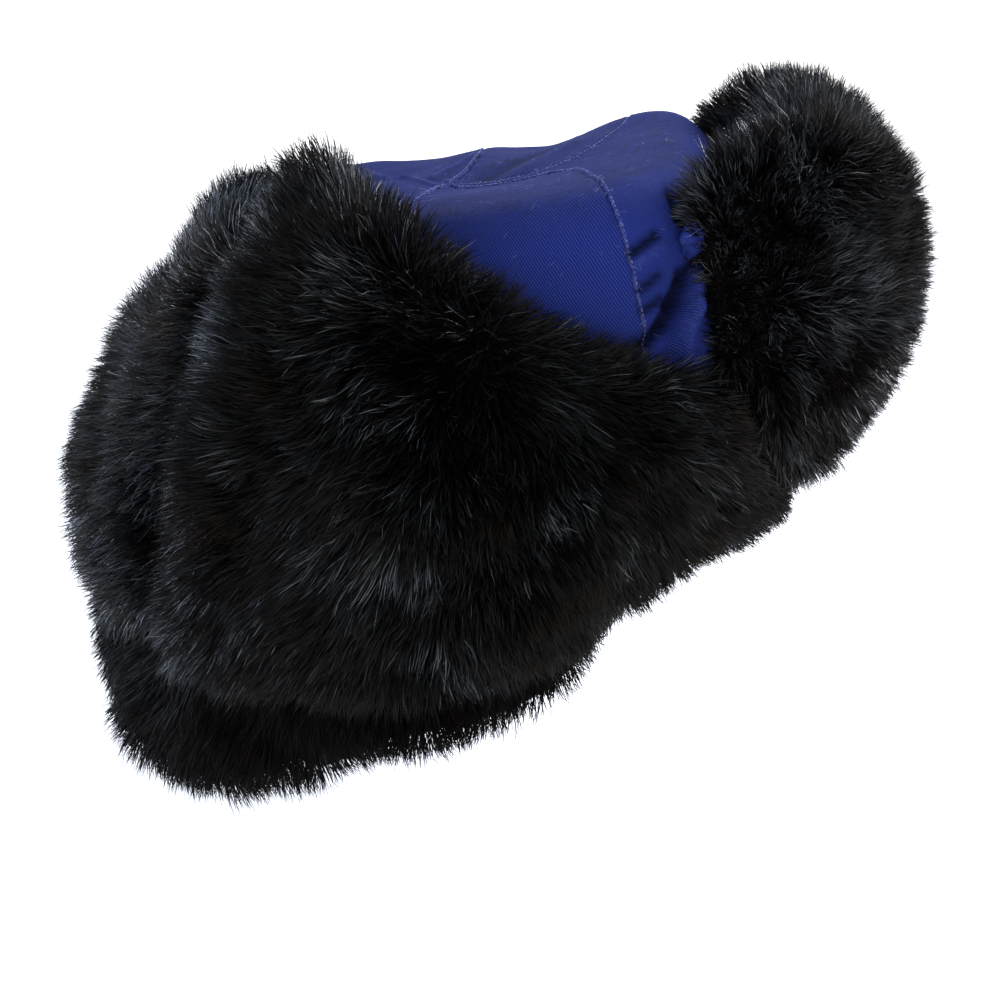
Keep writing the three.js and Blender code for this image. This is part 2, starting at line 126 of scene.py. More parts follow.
def makeCamera():
    turn = math.radians(view["turn"])
    right = Vector((math.cos(turn), math.sin(turn), 0))
    away = Vector((-math.sin(turn), math.cos(turn), 0))
    place = right * view["aside"] - away * view["away"] + Vector((0, 0, view["height"]))
    camera = newObject("camera", bpy.data.cameras.new("camera"))
    camera.data.lens = view["lens"]
    camera.data.sensor_width = view["sensor"]
    camera.location = place * mm
    camera.rotation_euler = lookAt(place, right * view["aside"] + Vector((0, 0, view["aimHeight"])))
    bpy.context.scene.camera = camera


def makeStudio():
    world = bpy.data.worlds.new("studio")
    world.use_nodes = True
    background = world.node_tree.nodes["Background"]
    background.inputs["Color"].default_value = (1, 1, 1, 1)
    background.inputs["Strength"].default_value = studio["sky"]
    bpy.context.scene.world = world
    bpy.context.scene.view_settings.view_transform = "Standard"
    floor = bmesh.new()
    bmesh.ops.create_grid(floor, x_segments=2, y_segments=2, size=studio["floorReach"])
    bmesh.ops.translate(floor, verts=floor.verts, vec=(0, 0, studio["floorHeight"] * mm))
    data = bpy.data.meshes.new("floor")
    floor.to_mesh(data)
    floor.free()
    # smooth white paper: matt, barely uneven in tone
    paper, n = newMaterial("studio_paper", 0.9, 0.1)
    spread = n("ShaderNodeTexNoise", {"Scale": 3.0, "Detail": 2.0}, "Fac")
    first, second = studio["floorColours"]
    tint = n("ShaderNodeMix", {"Factor": spread, "A": first, "B": second}, "Result", data_type="RGBA")
    data.materials.append(finishMaterial(paper, tint))
    newObject("floor", data)
    for name, place, aim, size, power, colour in studio["lamps"]:
        lamp = newObject(name, bpy.data.lights.new(name, "AREA"))
        lamp.data.shape = "DISK"
        lamp.data.size = size
        lamp.data.energy = power
        lamp.data.color = linearColour(colour)[:3]
        lamp.location = place
        lamp.rotation_euler = lookAt(place, aim)


makeCamera()
makeStudio()
print("camera, floor and lights done")

# shape of the hat: the same driving dimensions as its solids
axisX = -10.0  # the upright axis that walls and fur stand round
coreLong, coreWide, coreTop = 0.35, 0.25, 75.0  # walls face a core: its share of the crown, its top
clothWall = 2.4
seamGap = 0.3
crown = {
    "names": ("long", "wide", "x", "z", "rise", "round", "front", "rear", "farRear", "farFront"),
    "rings": [
        (103, 84, -2, 2, 0.3, 2.2, 62, 124, 236, 298),
        (103, 88, -2, 38, 0.16, 2.3, 62, 124, 238, 298),
        (102, 89, -3, 74, 0.08, 2.4, 61, 124, 242, 299),
        (97, 86, -4, 104, 0.09, 2.6, 61, 125, 250, 300),
        (88, 78, -7, 127, 0.13, 2.8, 62, 125, 260, 302),
        (74, 65, -10, 141, 0.17, 2.7, 58, 122, 267, 308),
        (55, 48, -13, 143, 0.17, 2.4, 43, 116, 268, 330),
        (34, 29, -17, 140, 0.12, 2.1, 16, 112, 270, 357),
        (14, 12, -21, 137, 0.02, 2, 26, 118, 274, 358),
        (2.4, 2.2, -22, 136, 0, 2, 45, 135, 260, 330),
    ],
    "pointFrom": 0.985,  # from here the gores' points are drawn in, closer in cloth than in the solids
    "pointShare": 0.8308696,
    "rows": 136,  # a multiple of coarser
    "pitch": 1.3,  # between columns
    "coarser": 4,  # the inner face has this many times fewer rows and columns
    "dustAndShadeFrom": 0.47,  # the cloth is greyer and darker on top, partly dust and partly painted shade, from this share of the way to the middle
    "dustAndShadeOver": 0.12,
    "darkAt": 1.9,  # the fold depth at which a crease's painted shade is as dark as it gets
    "darkest": 0.9,
    "creaseWidth": 0.9,  # of a fold's half width: how wide a crease's painted shade is
    "crestWidth": 0.4,
    "paleOnRises": 0.12,
    "waves": [(0.9, 30, 3.0), (0.35, 11, 8.0)],  # uneven waves in the cloth: height, size, seed
    # dents and puffs: x, y, z, reach, out
    "dents": [
        (44, -62, 146, 26, 3), (56, 46, 150, 24, 4), (9, 56, 146, 33, -9), (-55, 22, 136, 24, -5),
        (-50, -30, 136, 22, -4), (-66, 4, 134, 16, 4), (-37, 60, 137, 38, -7),
    ],
    # gathers behind the visor: from, to, half width, height
    "gathers": [
        ((72, -66, 134), (72, -72, 84), 7, 4), ((62, -75, 130), (60, -80, 88), 5, -4),
        ((72, 66, 134), (72, 72, 84), 7, 4), ((62, 75, 130), (60, 80, 88), 5, -4),
    ],
    # small folds that only the cloth shows: from, to, half width, height, how pale the crest is worn
    "folds": [
        # the deep fold and the roll of cloth beside it, behind the visor's corner
        ((67, -62, 130), (63, -66, 126), 2.0, -3.2, 0), ((63, -66, 126), (61, -71, 118), 2.2, -4.2, 0),
        ((61, -71, 118), (58, -74, 110), 2.4, -4.6, 0), ((58, -74, 110), (52, -78, 105), 2.4, -4.4, 0),
        ((52, -78, 105), (43, -82, 101), 2.4, -3.4, 0), ((68, -64, 127), (67, -70, 115), 3.0, 3.4, 0.1),
        ((67, -70, 115), (64, -74, 103), 3.0, 3.4, 0.1), ((64, -74, 103), (63, -75, 92), 3.0, 2.4, 0.1),
        # short creases that run out from the seam
        ((46, -72, 134), (54, -66, 139), 1.8, -2.2, 0), ((48, -73, 131), (56, -67, 135), 2.0, 1.3, 0.1),
        ((50, -75, 123), (56, -71, 127), 1.9, -1.7, 0), ((51, -76, 116), (57, -72, 119), 1.9, -1.8, 0),
        ((57, -52, 147), (61, -57, 142), 1.9, -2.6, 0), ((61, -57, 142), (67, -56, 138), 1.9, -2.2, 0),
        # behind the sunken middle
        ((-24, -3, 136), (-40, 7, 135), 1.9, 1.1, 1.0), ((-40, 7, 135), (-50, 23, 132), 1.9, 1.2, 1.0),
        ((-50, 23, 132), (-68, 43, 130), 1.9, 1.1, 0.8), ((-50, 23, 132), (-62, 6, 134), 1.9, 0.9, 0.8),
        ((-41, -26, 134), (-28, -31, 138), 1.5, -1.6, 0), ((-30, 8, 136), (-17, 38, 138), 2.2, 1.3, 0.5),
        # where the front gore's point is drawn in, and the rise beyond it
        ((-4, -1, 138), (4, -6, 140), 1.1, -0.7, 0.3), ((4, 7, 141), (19, 27, 146), 5.0, 1.3, 0.1),
        ((-10, 6, 139), (16, 34, 145), 5.0, -1.2, 0), ((0, -30, 147), (-60, -52, 136), 5.0, 0.8, 0),
    ],
}
fleece = {
    "roundness": 2.1,
    "leastRadius": 2.0,  # of a pad's section
    "core": 1000.0,  # deeper than any pad, so its section is the least one
    "partingWidth": 25.0,  # degrees over which the comb turns round at a parting
    "spacing": 4.5,  # between the skin's sections
    "sides": 64,
    "lumps": [(4.5, 27, 0), (1.6, 10, 20)],  # in the underfur: height, size, added to the pad's seed
    "skinReach": 3.4,  # the cut skin keeps its hair where it lies this near the uncut one
    "thinBelow": 34.0,  # a section thinner than this has a shallower coat
    "leastCoat": 0.35,
    # a face cut by the crown, hidden from outside, has sparse short hair only below the rim
    "cutBelowRim": 6.0,
    "cutOffTier": 2.0,
    "cutLength": 0.35,
    "cutAmount": 0.7,
}
gap = 0.4  # between the pads
plugClear, plugBottom = 3.0, -150.0  # what the crown takes from the pads: its clear space, its lower end
tierPlane = {"height": 11.0, "slope": 0.12}
visorPlane = {"x": 70.0, "z": 98.0, "slope": -1.72}
creaseAngle = 138.0
padNames = ("angle", "reach", "z", "deep", "tall", "lean", "comb")
earFlapRows = [
    (20, 113, 42, 12, 18, 0, 250), (28, 113, 50, 18, 26, 0, 245), (42, 113, 63, 23, 37, 3, 235),
    (60, 110, 64, 28, 49, 6, 220), (80, 107, 60, 32, 72, 10, 195), (100, 105, 62, 35, 90, 15, 165),
    (118, 103, 66, 37, 99, 19, 60), (131, 104, 67, 35, 104, 20, 50), (142, 104, 64, 24, 91, 20, 60),
]
leftEarFlap = {"lower": 16.0, "tall": 0.7, "lean": 0.6, "fromTall": 10.0, "overTall": 40.0}
neckFlapRows = [
    (133, 106, 54, 21, 60, 20, 60), (145, 108, 57, 33, 81, 24, 50), (163, 112, 58, 35, 87, 27, 30),
    (180, 115, 58, 36, 89, 29, 0),
]
napeRollRows = [
    (64, 103, 5, 9, 9, 0, 180), (71, 104, 3, 17, 22, 0, 180), (84, 105, -3, 24, 30, 0, 180),
    (104, 106, -9, 29, 38, 0, 170), (128, 110, -22, 33, 50, 4, 160), (152, 117, -36, 38, 57, 8, 160),
    (180, 122, -40, 42, 57, 8, 180),
]
visorRows = [
    (0, 119, 107, 43, 75, 0, 0), (15, 117, 107, 42, 73, 0, 20), (27, 113, 108, 34, 66, 3, 35),
    (35, 108, 112, 25, 50, 4, 45), (40, 105, 115, 13, 30, 4, 45),
]


def columnsAt(names, rows, t):
    # the table's columns on a smooth curve through its rows, t from 0 to 1
    table = np.array(rows, float)
    place = np.clip(np.asarray(t, float), 0, 1) * (len(table) - 1)
    first = np.minimum(place.astype(int), len(table) - 2)
    s = (place - first)[..., None]
    a, b, c, d = (table[np.clip(first + k, 0, len(table) - 1)] for k in (-1, 0, 1, 2))
    value = b + 0.5 * s * (c - a + s * (2 * a - 5 * b + 4 * c - d + s * (3 * (b - c) + d - a)))
    return {name: value[..., i] for i, name in enumerate(names)}


def superPower(value, roundness):
    return np.sign(value) * np.abs(value) ** (2 / roundness)


def unit(vectors):
    return vectors / np.maximum(np.linalg.norm(vectors, axis=-1, keepdims=True), 1e-9)


def inward(p):
    # the way from each point to the core of the hat
    x, y = axisX + coreLong * (p[..., 0] - axisX), coreWide * p[..., 1]
    return unit(np.stack([x, y, np.minimum(p[..., 2], coreTop)], -1) - p)


def ridge(p, start, end, width, high):
    a, b = np.array(start, float), np.array(end, float)
    along = np.clip(((p - a) @ (b - a)) / ((b - a) @ (b - a)), 0, 1)
    away = np.linalg.norm(p - (a + along[..., None] * (b - a)), axis=-1) / width
    return high * np.exp(-away * away)


def relief(p):
    out = np.zeros(p.shape[:-1])
    for x, y, z, reach, high in crown["dents"]:
        away = np.linalg.norm(p - np.array([x, y, z], float), axis=-1) / reach
        out += high * np.exp(-2 * away * away)
    for line in crown["gathers"]:
        out += ridge(p, *line)
    return out


def crownShape(up, angle, grow=0.0):
    ring = columnsAt(crown["names"], crown["rings"], up)
    a = np.radians(angle)
    along = ring["long"] * superPower(np.cos(a), ring["round"])
    across = ring["wide"] * superPower(np.sin(a), ring["round"])
    p = np.stack([ring["x"] + along, -across, ring["z"] + ring["rise"] * along], -1)
    return p - inward(p) * (relief(p) + grow)[..., None]


def padShape(rows, t, around, inside):
    row = columnsAt(padNames, rows, t)
    a, lean, turn = np.radians(around), np.radians(row["lean"]), np.radians(row["angle"])
    least, roundness = fleece["leastRadius"], fleece["roundness"]
    out = np.maximum(row["deep"] - inside, least) * superPower(np.cos(a), roundness)
    up = np.maximum(row["tall"] - inside, least) * superPower(np.sin(a), roundness)
    radial = row["reach"] + out * np.cos(lean) - up * np.sin(lean)
    z = row["z"] + out * np.sin(lean) + up * np.cos(lean)
    return np.stack([axisX + radial * np.cos(turn), -radial * np.sin(turn), z], -1)


def otherSide(rows):
    return [(-r[0], *r[1:6], -r[6]) for r in rows][::-1]


def bothSides(rows):
    middle = rows[-1][6]
    return rows[:-1] + [(360 - r[0], *r[1:6], 2 * middle - r[6]) for r in rows][::-1]


def roundFront(rows):
    return otherSide(rows) + rows[1:]


def lowered(rows):
    # the left flap lies lower and flatter, in full where the flap is tall
    left, low = leftEarFlap, []
    for angle, reach, z, deep, tall, lean, comb in rows:
        share = min(1.0, (tall - left["fromTall"]) / left["overTall"])
        squash = 1 + (left["tall"] - 1) * share
        low.append((angle, reach, z - left["lower"] * share, deep, tall * squash, lean * left["lean"], comb))
    return otherSide(low)


def crumple(p, size, seed):
    # soft uneven waves, from -1 to 1
    place = [Vector((x / size + seed, y / size, z / size)) for x, y, z in p.reshape(-1, 3)]
    return np.array([noise.noise(v) for v in place]).reshape(p.shape[:-1])


def stepsAcross(p):
    return np.linalg.norm(np.diff(p, axis=1), axis=-1)


def walkedAcross(p):
    # how far along its row each point of a grid lies
    return np.concatenate([np.zeros((len(p), 1)), np.cumsum(stepsAcross(p), axis=1)], 1)


# meshes
def meshObject(name, points, faces, material=None, smooth=True):
    data = bpy.data.meshes.new(name)
    data.from_pydata([tuple(p) for p in np.asarray(points) * mm], [], faces)
    if material:
        data.materials.append(material)
    if smooth:
        data.shade_smooth()
    data.update()
    return newObject(name, data)


def faceOut(piece, merge=True):
    # merges doubles and turns the faces outwards
    work = bmesh.new()
    work.from_mesh(piece.data)
    if merge:
        bmesh.ops.remove_doubles(work, verts=work.verts, dist=1e-5)
    bmesh.ops.recalc_face_normals(work, faces=work.faces)
    work.to_mesh(piece.data)
    work.free()


def setAttribute(piece, name, values):
    values = np.asarray(values, np.float32)
    kind, key = ("FLOAT_VECTOR", "vector") if values.ndim == 2 else ("FLOAT", "value")
    piece.data.attributes.new(name, kind, "POINT").data.foreach_set(key, values.ravel())


def setPattern(piece, flat):
    # flat: where each point of the mesh lies in the cloth's own pattern
    corners = np.zeros(len(piece.data.loops), int)
    piece.data.loops.foreach_get("vertex_index", corners)
    uv = (flat * mm)[corners].astype(np.float32).ravel()
    piece.data.uv_layers.new(name="panel").data.foreach_set("uv", uv)


def bakeModifiers(piece):
    # the evaluated shape becomes the piece's own plain mesh
    graph = bpy.context.evaluated_depsgraph_get()
    graph.update()
    shape = piece.evaluated_get(graph)
    done = bpy.data.meshes.new_from_object(shape, preserve_all_data_layers=True, depsgraph=graph)
    piece.modifiers.clear()
    old = piece.data
    piece.data = done
    bpy.data.meshes.remove(old)
    return piece


def gridFaces(rows, columns, loop=False, start=0, flip=False):
    faces = []
    wide = columns if loop else columns + 1
    for i in range(rows):
        for j in range(columns):
            a, b = start + i * wide + j, start + i * wide + (j + 1) % wide
            quad = (a, b, b + wide, a + wide)
            faces.append(quad[::-1] if flip else quad)
    return faces


def tubeFaces(rows, sides):
    # a tube with both its ends closed
    last = rows * sides
    return gridFaces(rows, sides, True) + [tuple(range(sides)), tuple(range(last, last + sides))[::-1]]


# materials
twill = {
    "wale": 0.74,  # mm from one rib to the next
    "yarn": 0.4,  # mm from one weft yarn to the next
    # the ribs are painted lighter and the furrows darker: painted light and shade on the weave
    "shadedFurrow": "#162268",
    "litRib": "#2d419c",
    "washed": "#232d6c",
    "rubbed": "#646fb6",
    # greyer and darker on top: partly dust, partly painted shade
    "dustyPaintedShade": "#14192e",
    "creased": "#04071c",  # painted shade at the bottom of a crease
}
# each coat: name, roughness, specular, its colour at the root and tip, and warm, cold and pale tips
# the visor, ear and nape coats are lighter and darker copies of the guard hair: painted light and shade
coats = {
    "guard": ("black_rabbit_guard_hair", 0.33, 0.32, "#010101", "#0b0b0d", "#1f160e", "#47525e", "#84909c"),
    # the visor's copy of the fur, painted lighter for the light on its top, with the most shine
    "visor": ("glossy_black_visor_hair_painted_light", 0.3, 0.34, "#010101", "#18181a", "#382c24", "#666f79", "#a0a9b2"),
    # the ear flaps' copy, near black but for its tips: painted shade on the flaps' face
    "ear": ("black_ear_hair_painted_shade", 0.33, 0.12, "#000000", "#050505", "#21170e", "#30373d", "#88939c"),
    # the nape's copy, dull brownish black without shine: painted shade low under the hat
    "nape": ("dull_black_nape_hair_painted_shade", 0.45, 0.04, "#000000", "#050403", "#1a110a", "#0f1011", "#24272a"),
}
# which hairs are warm, cold and pale, by their tone from 0 to 1: from, to, how much
toneRanges = [(0.68, 0.95, 0.85), (0.42, 0.1, 0.9), (0.09, 0.0, 0.8)]


def makeTwill():
    # cotton twill, piece dyed navy: fine diagonal ribs painted lighter than the furrows (painted light and
    # shade), dull, paler where it is rubbed, greyer and darker on top from dust and painted shade, with
    # painted shade in the creases
    cloth, n = newMaterial("navy_cotton_twill", 0.88, 0.1, 0.02, "#6f80d8")
    uv = n("ShaderNodeUVMap", uv_map="panel")
    place = n("ShaderNodeTexCoord", out="Object")
    waver = n("ShaderNodeTexNoise", {"Vector": uv, "Scale": 140.0, "Detail": 3.0}, "Color")
    moved = n("ShaderNodeVectorMath", {0: waver, 1: (0.0006, 0.0006, 0), 2: uv}, operation="MULTIPLY_ADD")
    split = n("ShaderNodeSeparateXYZ", {"Vector": moved}, "node")
    waves = []
    for way, pitch in ((0, twill["wale"]), (1, twill["yarn"])):
        turns = n("ShaderNodeMath", {0: split.outputs[way], 1: math.tau / (pitch * mm)}, operation="MULTIPLY")
        waves.append(n("ShaderNodeMath", {0: turns}, operation="SINE"))
    weave = n("ShaderNodeMath", {0: waves[1], 1: 0.18, 2: waves[0]}, operation="MULTIPLY_ADD")
    uneven = n("ShaderNodeTexNoise", {"Vector": uv, "Scale": 900.0, "Detail": 2.0}, "Fac")
    height = n("ShaderNodeMath", {0: weave, 1: uneven}, operation="MULTIPLY")
    # lit mixes the painted light on the ribs with the painted shade in the furrows
    lit = n("ShaderNodeMapRange", {"Value": height, "From Min": -0.35, "From Max": 0.55})
    blotch = n("ShaderNodeTexNoise", {"Vector": place, "Scale": 26.0, "Detail": 5.0}, "Fac")
    washed = n("ShaderNodeMapRange", {"Value": blotch, "From Min": 0.42, "From Max": 0.75, "To Max": 0.3})
    worn, seamAway, dustAndPaintedShade, paintedCreaseShade = (
        n("ShaderNodeAttribute", None, "Fac", attribute_name=name)
        for name in ("worn", "seamAway", "dustAndPaintedShade", "paintedCreaseShade")
    )
    # pale along the very edge of a seam, and on the crests of worn folds
    edge = n(
        "ShaderNodeMapRange", {"Value": seamAway, "From Min": 0.9, "From Max": 0.2},
        interpolation_type="SMOOTHSTEP",
    )
    edge = n("ShaderNodeMath", {0: edge, 1: worn}, operation="ADD")
    rub = n("ShaderNodeTexNoise", {"Vector": place, "Scale": 520.0, "Detail": 4.0}, "Fac")
    rub = n(
        "ShaderNodeMapRange",
        {"Value": rub, "From Min": 0.38, "From Max": 0.66, "To Min": 0.1, "To Max": 0.85},
    )
    rubbed = n("ShaderNodeMath", {0: edge, 1: rub}, operation="MULTIPLY", use_clamp=True)
    fluff = {"Vector": place, "Scale": 310.0, "Detail": 6.0, "Distortion": 2.5}
    fluff = n("ShaderNodeTexNoise", fluff, "Fac")
    fluff = n(
        "ShaderNodeMapRange",
        {"Value": fluff, "From Min": 0.35, "From Max": 0.7, "To Min": 0.5, "To Max": 0.9},
    )
    # dust and painted shade grey and darken the top
    dustyPaintedShade = n("ShaderNodeMath", {0: fluff, 1: dustAndPaintedShade}, operation="MULTIPLY")
    colour = twill["shadedFurrow"]
    for amount, name in (
        (lit, "litRib"), (washed, "washed"), (rubbed, "rubbed"), (dustyPaintedShade, "dustyPaintedShade"), (paintedCreaseShade, "creased"),
    ):
        mixed = {"Factor": amount, "A": colour, "B": twill[name]}
        colour = n("ShaderNodeMix", mixed, "Result", data_type="RGBA")
    ribs = n("ShaderNodeBump", {"Strength": 0.55, "Distance": 0.00022, "Height": height})
    puckers = n("ShaderNodeBump", {"Strength": 0.35, "Distance": 0.0012, "Height": blotch, "Normal": ribs})
    return finishMaterial(cloth, colour, puckers)


def makeHair(name, roughness, specular, root, tip, *toned):
    # rabbit fur, dyed black: guard hairs near black at the root, browner, greyer or silver at the tip
    hair, n = newMaterial(name, roughness, specular)
    along = n("ShaderNodeAttribute", None, "Fac", attribute_name="along")
    tone = n("ShaderNodeAttribute", None, "Fac", attribute_name="tone")
    for (low, high, most), colour in zip(toneRanges, toned):
        amount = n("ShaderNodeMapRange", {"Value": tone, "From Min": low, "From Max": high, "To Max": most})
        tip = n("ShaderNodeMix", {"Factor": amount, "A": tip, "B": colour}, "Result", data_type="RGBA")
    upper = n("ShaderNodeMath", {0: along, 1: 1.8}, operation="POWER")
    shaft = n("ShaderNodeMix", {"Factor": upper, "A": root, "B": tip}, "Result", data_type="RGBA")
    return finishMaterial(hair, shaft)


def makeUnderfur():
    # the dense wool under the guard hairs: matt, almost no light comes back from it
    wool, n = newMaterial("black_rabbit_underfur", 0.95, 0.1)
    place = n("ShaderNodeTexCoord", out="Object")
    drawn = n("ShaderNodeMapping", {"Vector": place, "Scale": (1, 1, 0.35)})
    wisps = n("ShaderNodeTexNoise", {"Vector": drawn, "Scale": 900.0, "Detail": 5.0}, "Fac")
    shade = n("ShaderNodeMix", {"Factor": wisps, "A": "#020203", "B": "#101013"}, "Result", data_type="RGBA")
    bump = n("ShaderNodeBump", {"Strength": 0.8, "Distance": 0.001, "Height": wisps})
    return finishMaterial(wool, shade, bump)


def makeThread(name, colour):
    # spun cotton thread: matt, with a twist that shows as fine bands
    thread, n = newMaterial(name, 0.85, 0.2, 0.2)
    place = n("ShaderNodeTexCoord", out="Object")
    twist = n("ShaderNodeTexNoise", {"Vector": place, "Scale": 1400.0, "Detail": 2.0}, "Fac")
    shade = n("ShaderNodeMix", {"Factor": twist, "A": colour, "B": "#2b3470"}, "Result", data_type="RGBA")
    return finishMaterial(thread, shade)


navyTwill = makeTwill()
hairs = {key: makeHair(*coat) for key, coat in coats.items()}
underfur = makeUnderfur()
seamThread = makeThread("pale_blue_seam_thread", "#8b95d2")
looseThread = makeThread("navy_loose_thread", "#5f6cb4")

# crown: four gores of twill, each a closed wall of cloth; the front and rear ones lie over the others
# grain turns the wales, flat says which way a side panel unrolls, draw is how far it is drawn out
goreColumns = ("name", "from", "to", "turns", "over", "grain", "flat", "draw")
goreTable = [
    ("crown_front_gore", "farFront", "front", 1, True, 58, 0, 1.22),
    ("crown_right_gore", "front", "rear", 0, False, 58, -1, 1.0),
    ("crown_rear_gore", "rear", "farRear", 0, True, 60, 0, 1.1),
    ("crown_left_gore", "farRear", "farFront", 0, False, -58, 1, 1.0),
]
gores = [dict(zip(goreColumns, row)) for row in goreTable]
seam = {
    "lapWidth": 1.2, "lapHeight": 0.25, "lapIn": 0.6, "valley": 0.55, "valleyWidth": 1.3,
    "puckerPitch": 7.5, "pucker": 0.14, "puckerReach": 6.0,
    "heldOver": 3.0,  # a seam keeps the waves and folds low beside it
    "heldTo": 0.35,
    "none": 9.0,  # how far away a seam counts as where the cloth has no rubbed edge
}


def goreGrid(gore):
    rows, coarser = crown["rows"], crown["coarser"]
    up = np.linspace(0, 1, rows + 1)
    ring = columnsAt(crown["names"], crown["rings"], up)
    start, end = ring[gore["from"]] - 360 * gore["turns"], ring[gore["to"]]
    third, samples = rows // 3, 60
    middle = crownShape(np.full(samples, up[third]), np.linspace(start[third], end[third], samples))
    columns = coarser * round(stepsAcross(middle[None]).sum() / crown["pitch"] / coarser)
    even = np.linspace(0, 1, columns + 1)
    share = 0.5 * even + 0.5 * (0.5 - 0.5 * np.cos(np.pi * even))  # closer near the seams
    angle = start[:, None] + (end - start)[:, None] * share
    p = crownShape(np.broadcast_to(up[:, None], angle.shape), angle)
    last = crown["rings"][-1]
    apex = np.array([last[2], 0, last[3]], float)
    pull = np.clip((up - crown["pointFrom"]) / (1 - crown["pointFrom"]), 0, 1)[:, None, None]
    return p + (apex - p) * pull * crown["pointShare"], rows, columns


def flatPattern(p, gore):
    # where each point lies in the panel's cut pattern, turned so that x runs across the wales
    if gore["flat"]:  # a side panel lies along the hat, so its pattern unrolls from front to back
        across, climb = gore["flat"] * p[..., 0], walkedAcross(p[..., 1:].swapaxes(0, 1)).T
    else:
        middle = p.shape[1] // 2
        across, climb = walkedAcross(p), walkedAcross(p[:, middle][None]).T
        across = across - across[:, middle : middle + 1]
    turn = math.radians(gore["grain"])
    u = across * math.sin(turn) - climb * math.cos(turn)
    v = across * math.cos(turn) + climb * math.sin(turn)
    return np.stack([u, v], -1) / gore["draw"]


def borderLoop(rows, columns, start=0):
    # the points round the border of a grid, in order
    at = lambda i, j: start + i * (columns + 1) + j
    loop = [at(0, j) for j in range(columns)] + [at(i, columns) for i in range(rows)]
    return loop + [at(rows, j) for j in range(columns, 0, -1)] + [at(i, 0) for i in range(rows, 0, -1)]


def lowestNear(values, reach):
    # the lowest value within so many rows and columns of each point
    for axis in (0, 1):
        count = values.shape[axis]
        wide = np.pad(values, [(reach, reach) if k == axis else (0, 0) for k in (0, 1)], mode="edge")
        values = np.min([np.take(wide, range(k, k + count), axis) for k in range(2 * reach + 1)], axis=0)
    return values


def makeGore(gore):
    p, rows, columns = goreGrid(gore)
    pattern, steps, fromStart = flatPattern(p, gore), stepsAcross(p), walkedAcross(p)
    nearSeam = np.minimum(fromStart, fromStart[:, -1:] - fromStart)
    lift = sum(high * crumple(p, size, seed) for high, size, seed in crown["waves"])
    crest, creased = np.zeros(lift.shape), np.zeros(lift.shape)
    for start, end, width, high, wornCrest in crown["folds"]:
        lift = lift + ridge(p, start, end, width, high)
        if wornCrest:
            crest = np.maximum(crest, ridge(p, start, end, crown["crestWidth"] * width, wornCrest))
        # a sunken fold gets painted shade along its bottom, the darker the deeper it is
        if high < 0:
            dark = -high / crown["darkAt"]
            creased = np.maximum(creased, ridge(p, start, end, crown["creaseWidth"] * width, dark))
    if gore["over"]:
        edge = seam["lapHeight"] * np.exp(-((nearSeam - seam["lapIn"]) / seam["lapWidth"]) ** 2)
    else:
        edge = -seam["valley"] * np.exp(-(nearSeam / seam["valleyWidth"]) ** 2)
    pucker = seam["pucker"] * np.sin(pattern[..., 1] / seam["puckerPitch"] * math.tau)
    pucker = pucker * np.exp(-nearSeam / seam["puckerReach"])
    free = seam["heldTo"] + (1 - seam["heldTo"]) * np.clip(nearSeam / seam["heldOver"], 0, 1)
    lift = lift * free + edge + pucker
    out = -inward(p)
    outer = p + out * lift[..., None]
    # hold the seam edges a hair's breadth apart
    for border, inner in ((0, 1), (-1, -2)):
        way = unit(outer[:, inner] - outer[:, border])
        outer[:, border] += way * np.minimum(seamGap / 2, 0.4 * steps[:, border])[:, None]
    few = crown["coarser"]
    inner = (p + out * (lowestNear(lift, few) - clothWall)[..., None])[::few, ::few]
    half = (rows + 1) * (columns + 1)
    faces = gridFaces(rows, columns) + gridFaces(rows // few, columns // few, start=half, flip=True)
    rim, innerRim = borderLoop(rows, columns), borderLoop(rows // few, columns // few, half)
    for k, a in enumerate(innerRim):
        chain = [rim[(few * k + i) % len(rim)] for i in range(few, -1, -1)]
        faces.append((*chain, a, innerRim[(k + 1) % len(innerRim)]))
    points = np.concatenate([outer.reshape(-1, 3), inner.reshape(-1, 3)])
    piece = meshObject(gore["name"] + "_cloth", points, faces, navyTwill)
    upward = np.linspace(0, 1, rows + 1)[:, None] * np.ones(columns + 1)
    looks = {
        "worn": np.clip(crown["paleOnRises"] * np.clip(lift, 0, 1) + crest, 0, 1),
        "seamAway": nearSeam if gore["over"] else np.full(nearSeam.shape, seam["none"]),
        "dustAndPaintedShade": np.clip((upward - crown["dustAndShadeFrom"]) / crown["dustAndShadeOver"], 0, 1),
        "paintedCreaseShade": np.minimum(creased, crown["darkest"]),
    }
    for name, values in looks.items():
        setAttribute(piece, name, np.concatenate([values.ravel(), values[::few, ::few].ravel()]))
    setPattern(piece, np.concatenate([pattern.reshape(-1, 2), pattern[::few, ::few].reshape(-1, 2)]))
    faceOut(piece, merge=False)
    piece.data.shade_smooth()
    return piece, outer


crownPieces = [(gore, *makeGore(gore)) for gore in gores]
print("crown gores done")

# fur strands and stitches grow on surfaces by Geometry Nodes
strandPlain = {
    "Density": 100000.0, "Lift": 0.5, "Spread": 0.25, "Droop": 0.3, "Swirl": 1.0, "Mat Size": 0.028,
    "Mat Pull": 0.3, "Flatness": 0.0, "Tuft Size": 0.012, "Tuft Pull": 0.4, "Frizz": 0.0015,
    "Width": 1.0, "Fall": 0.0,
}


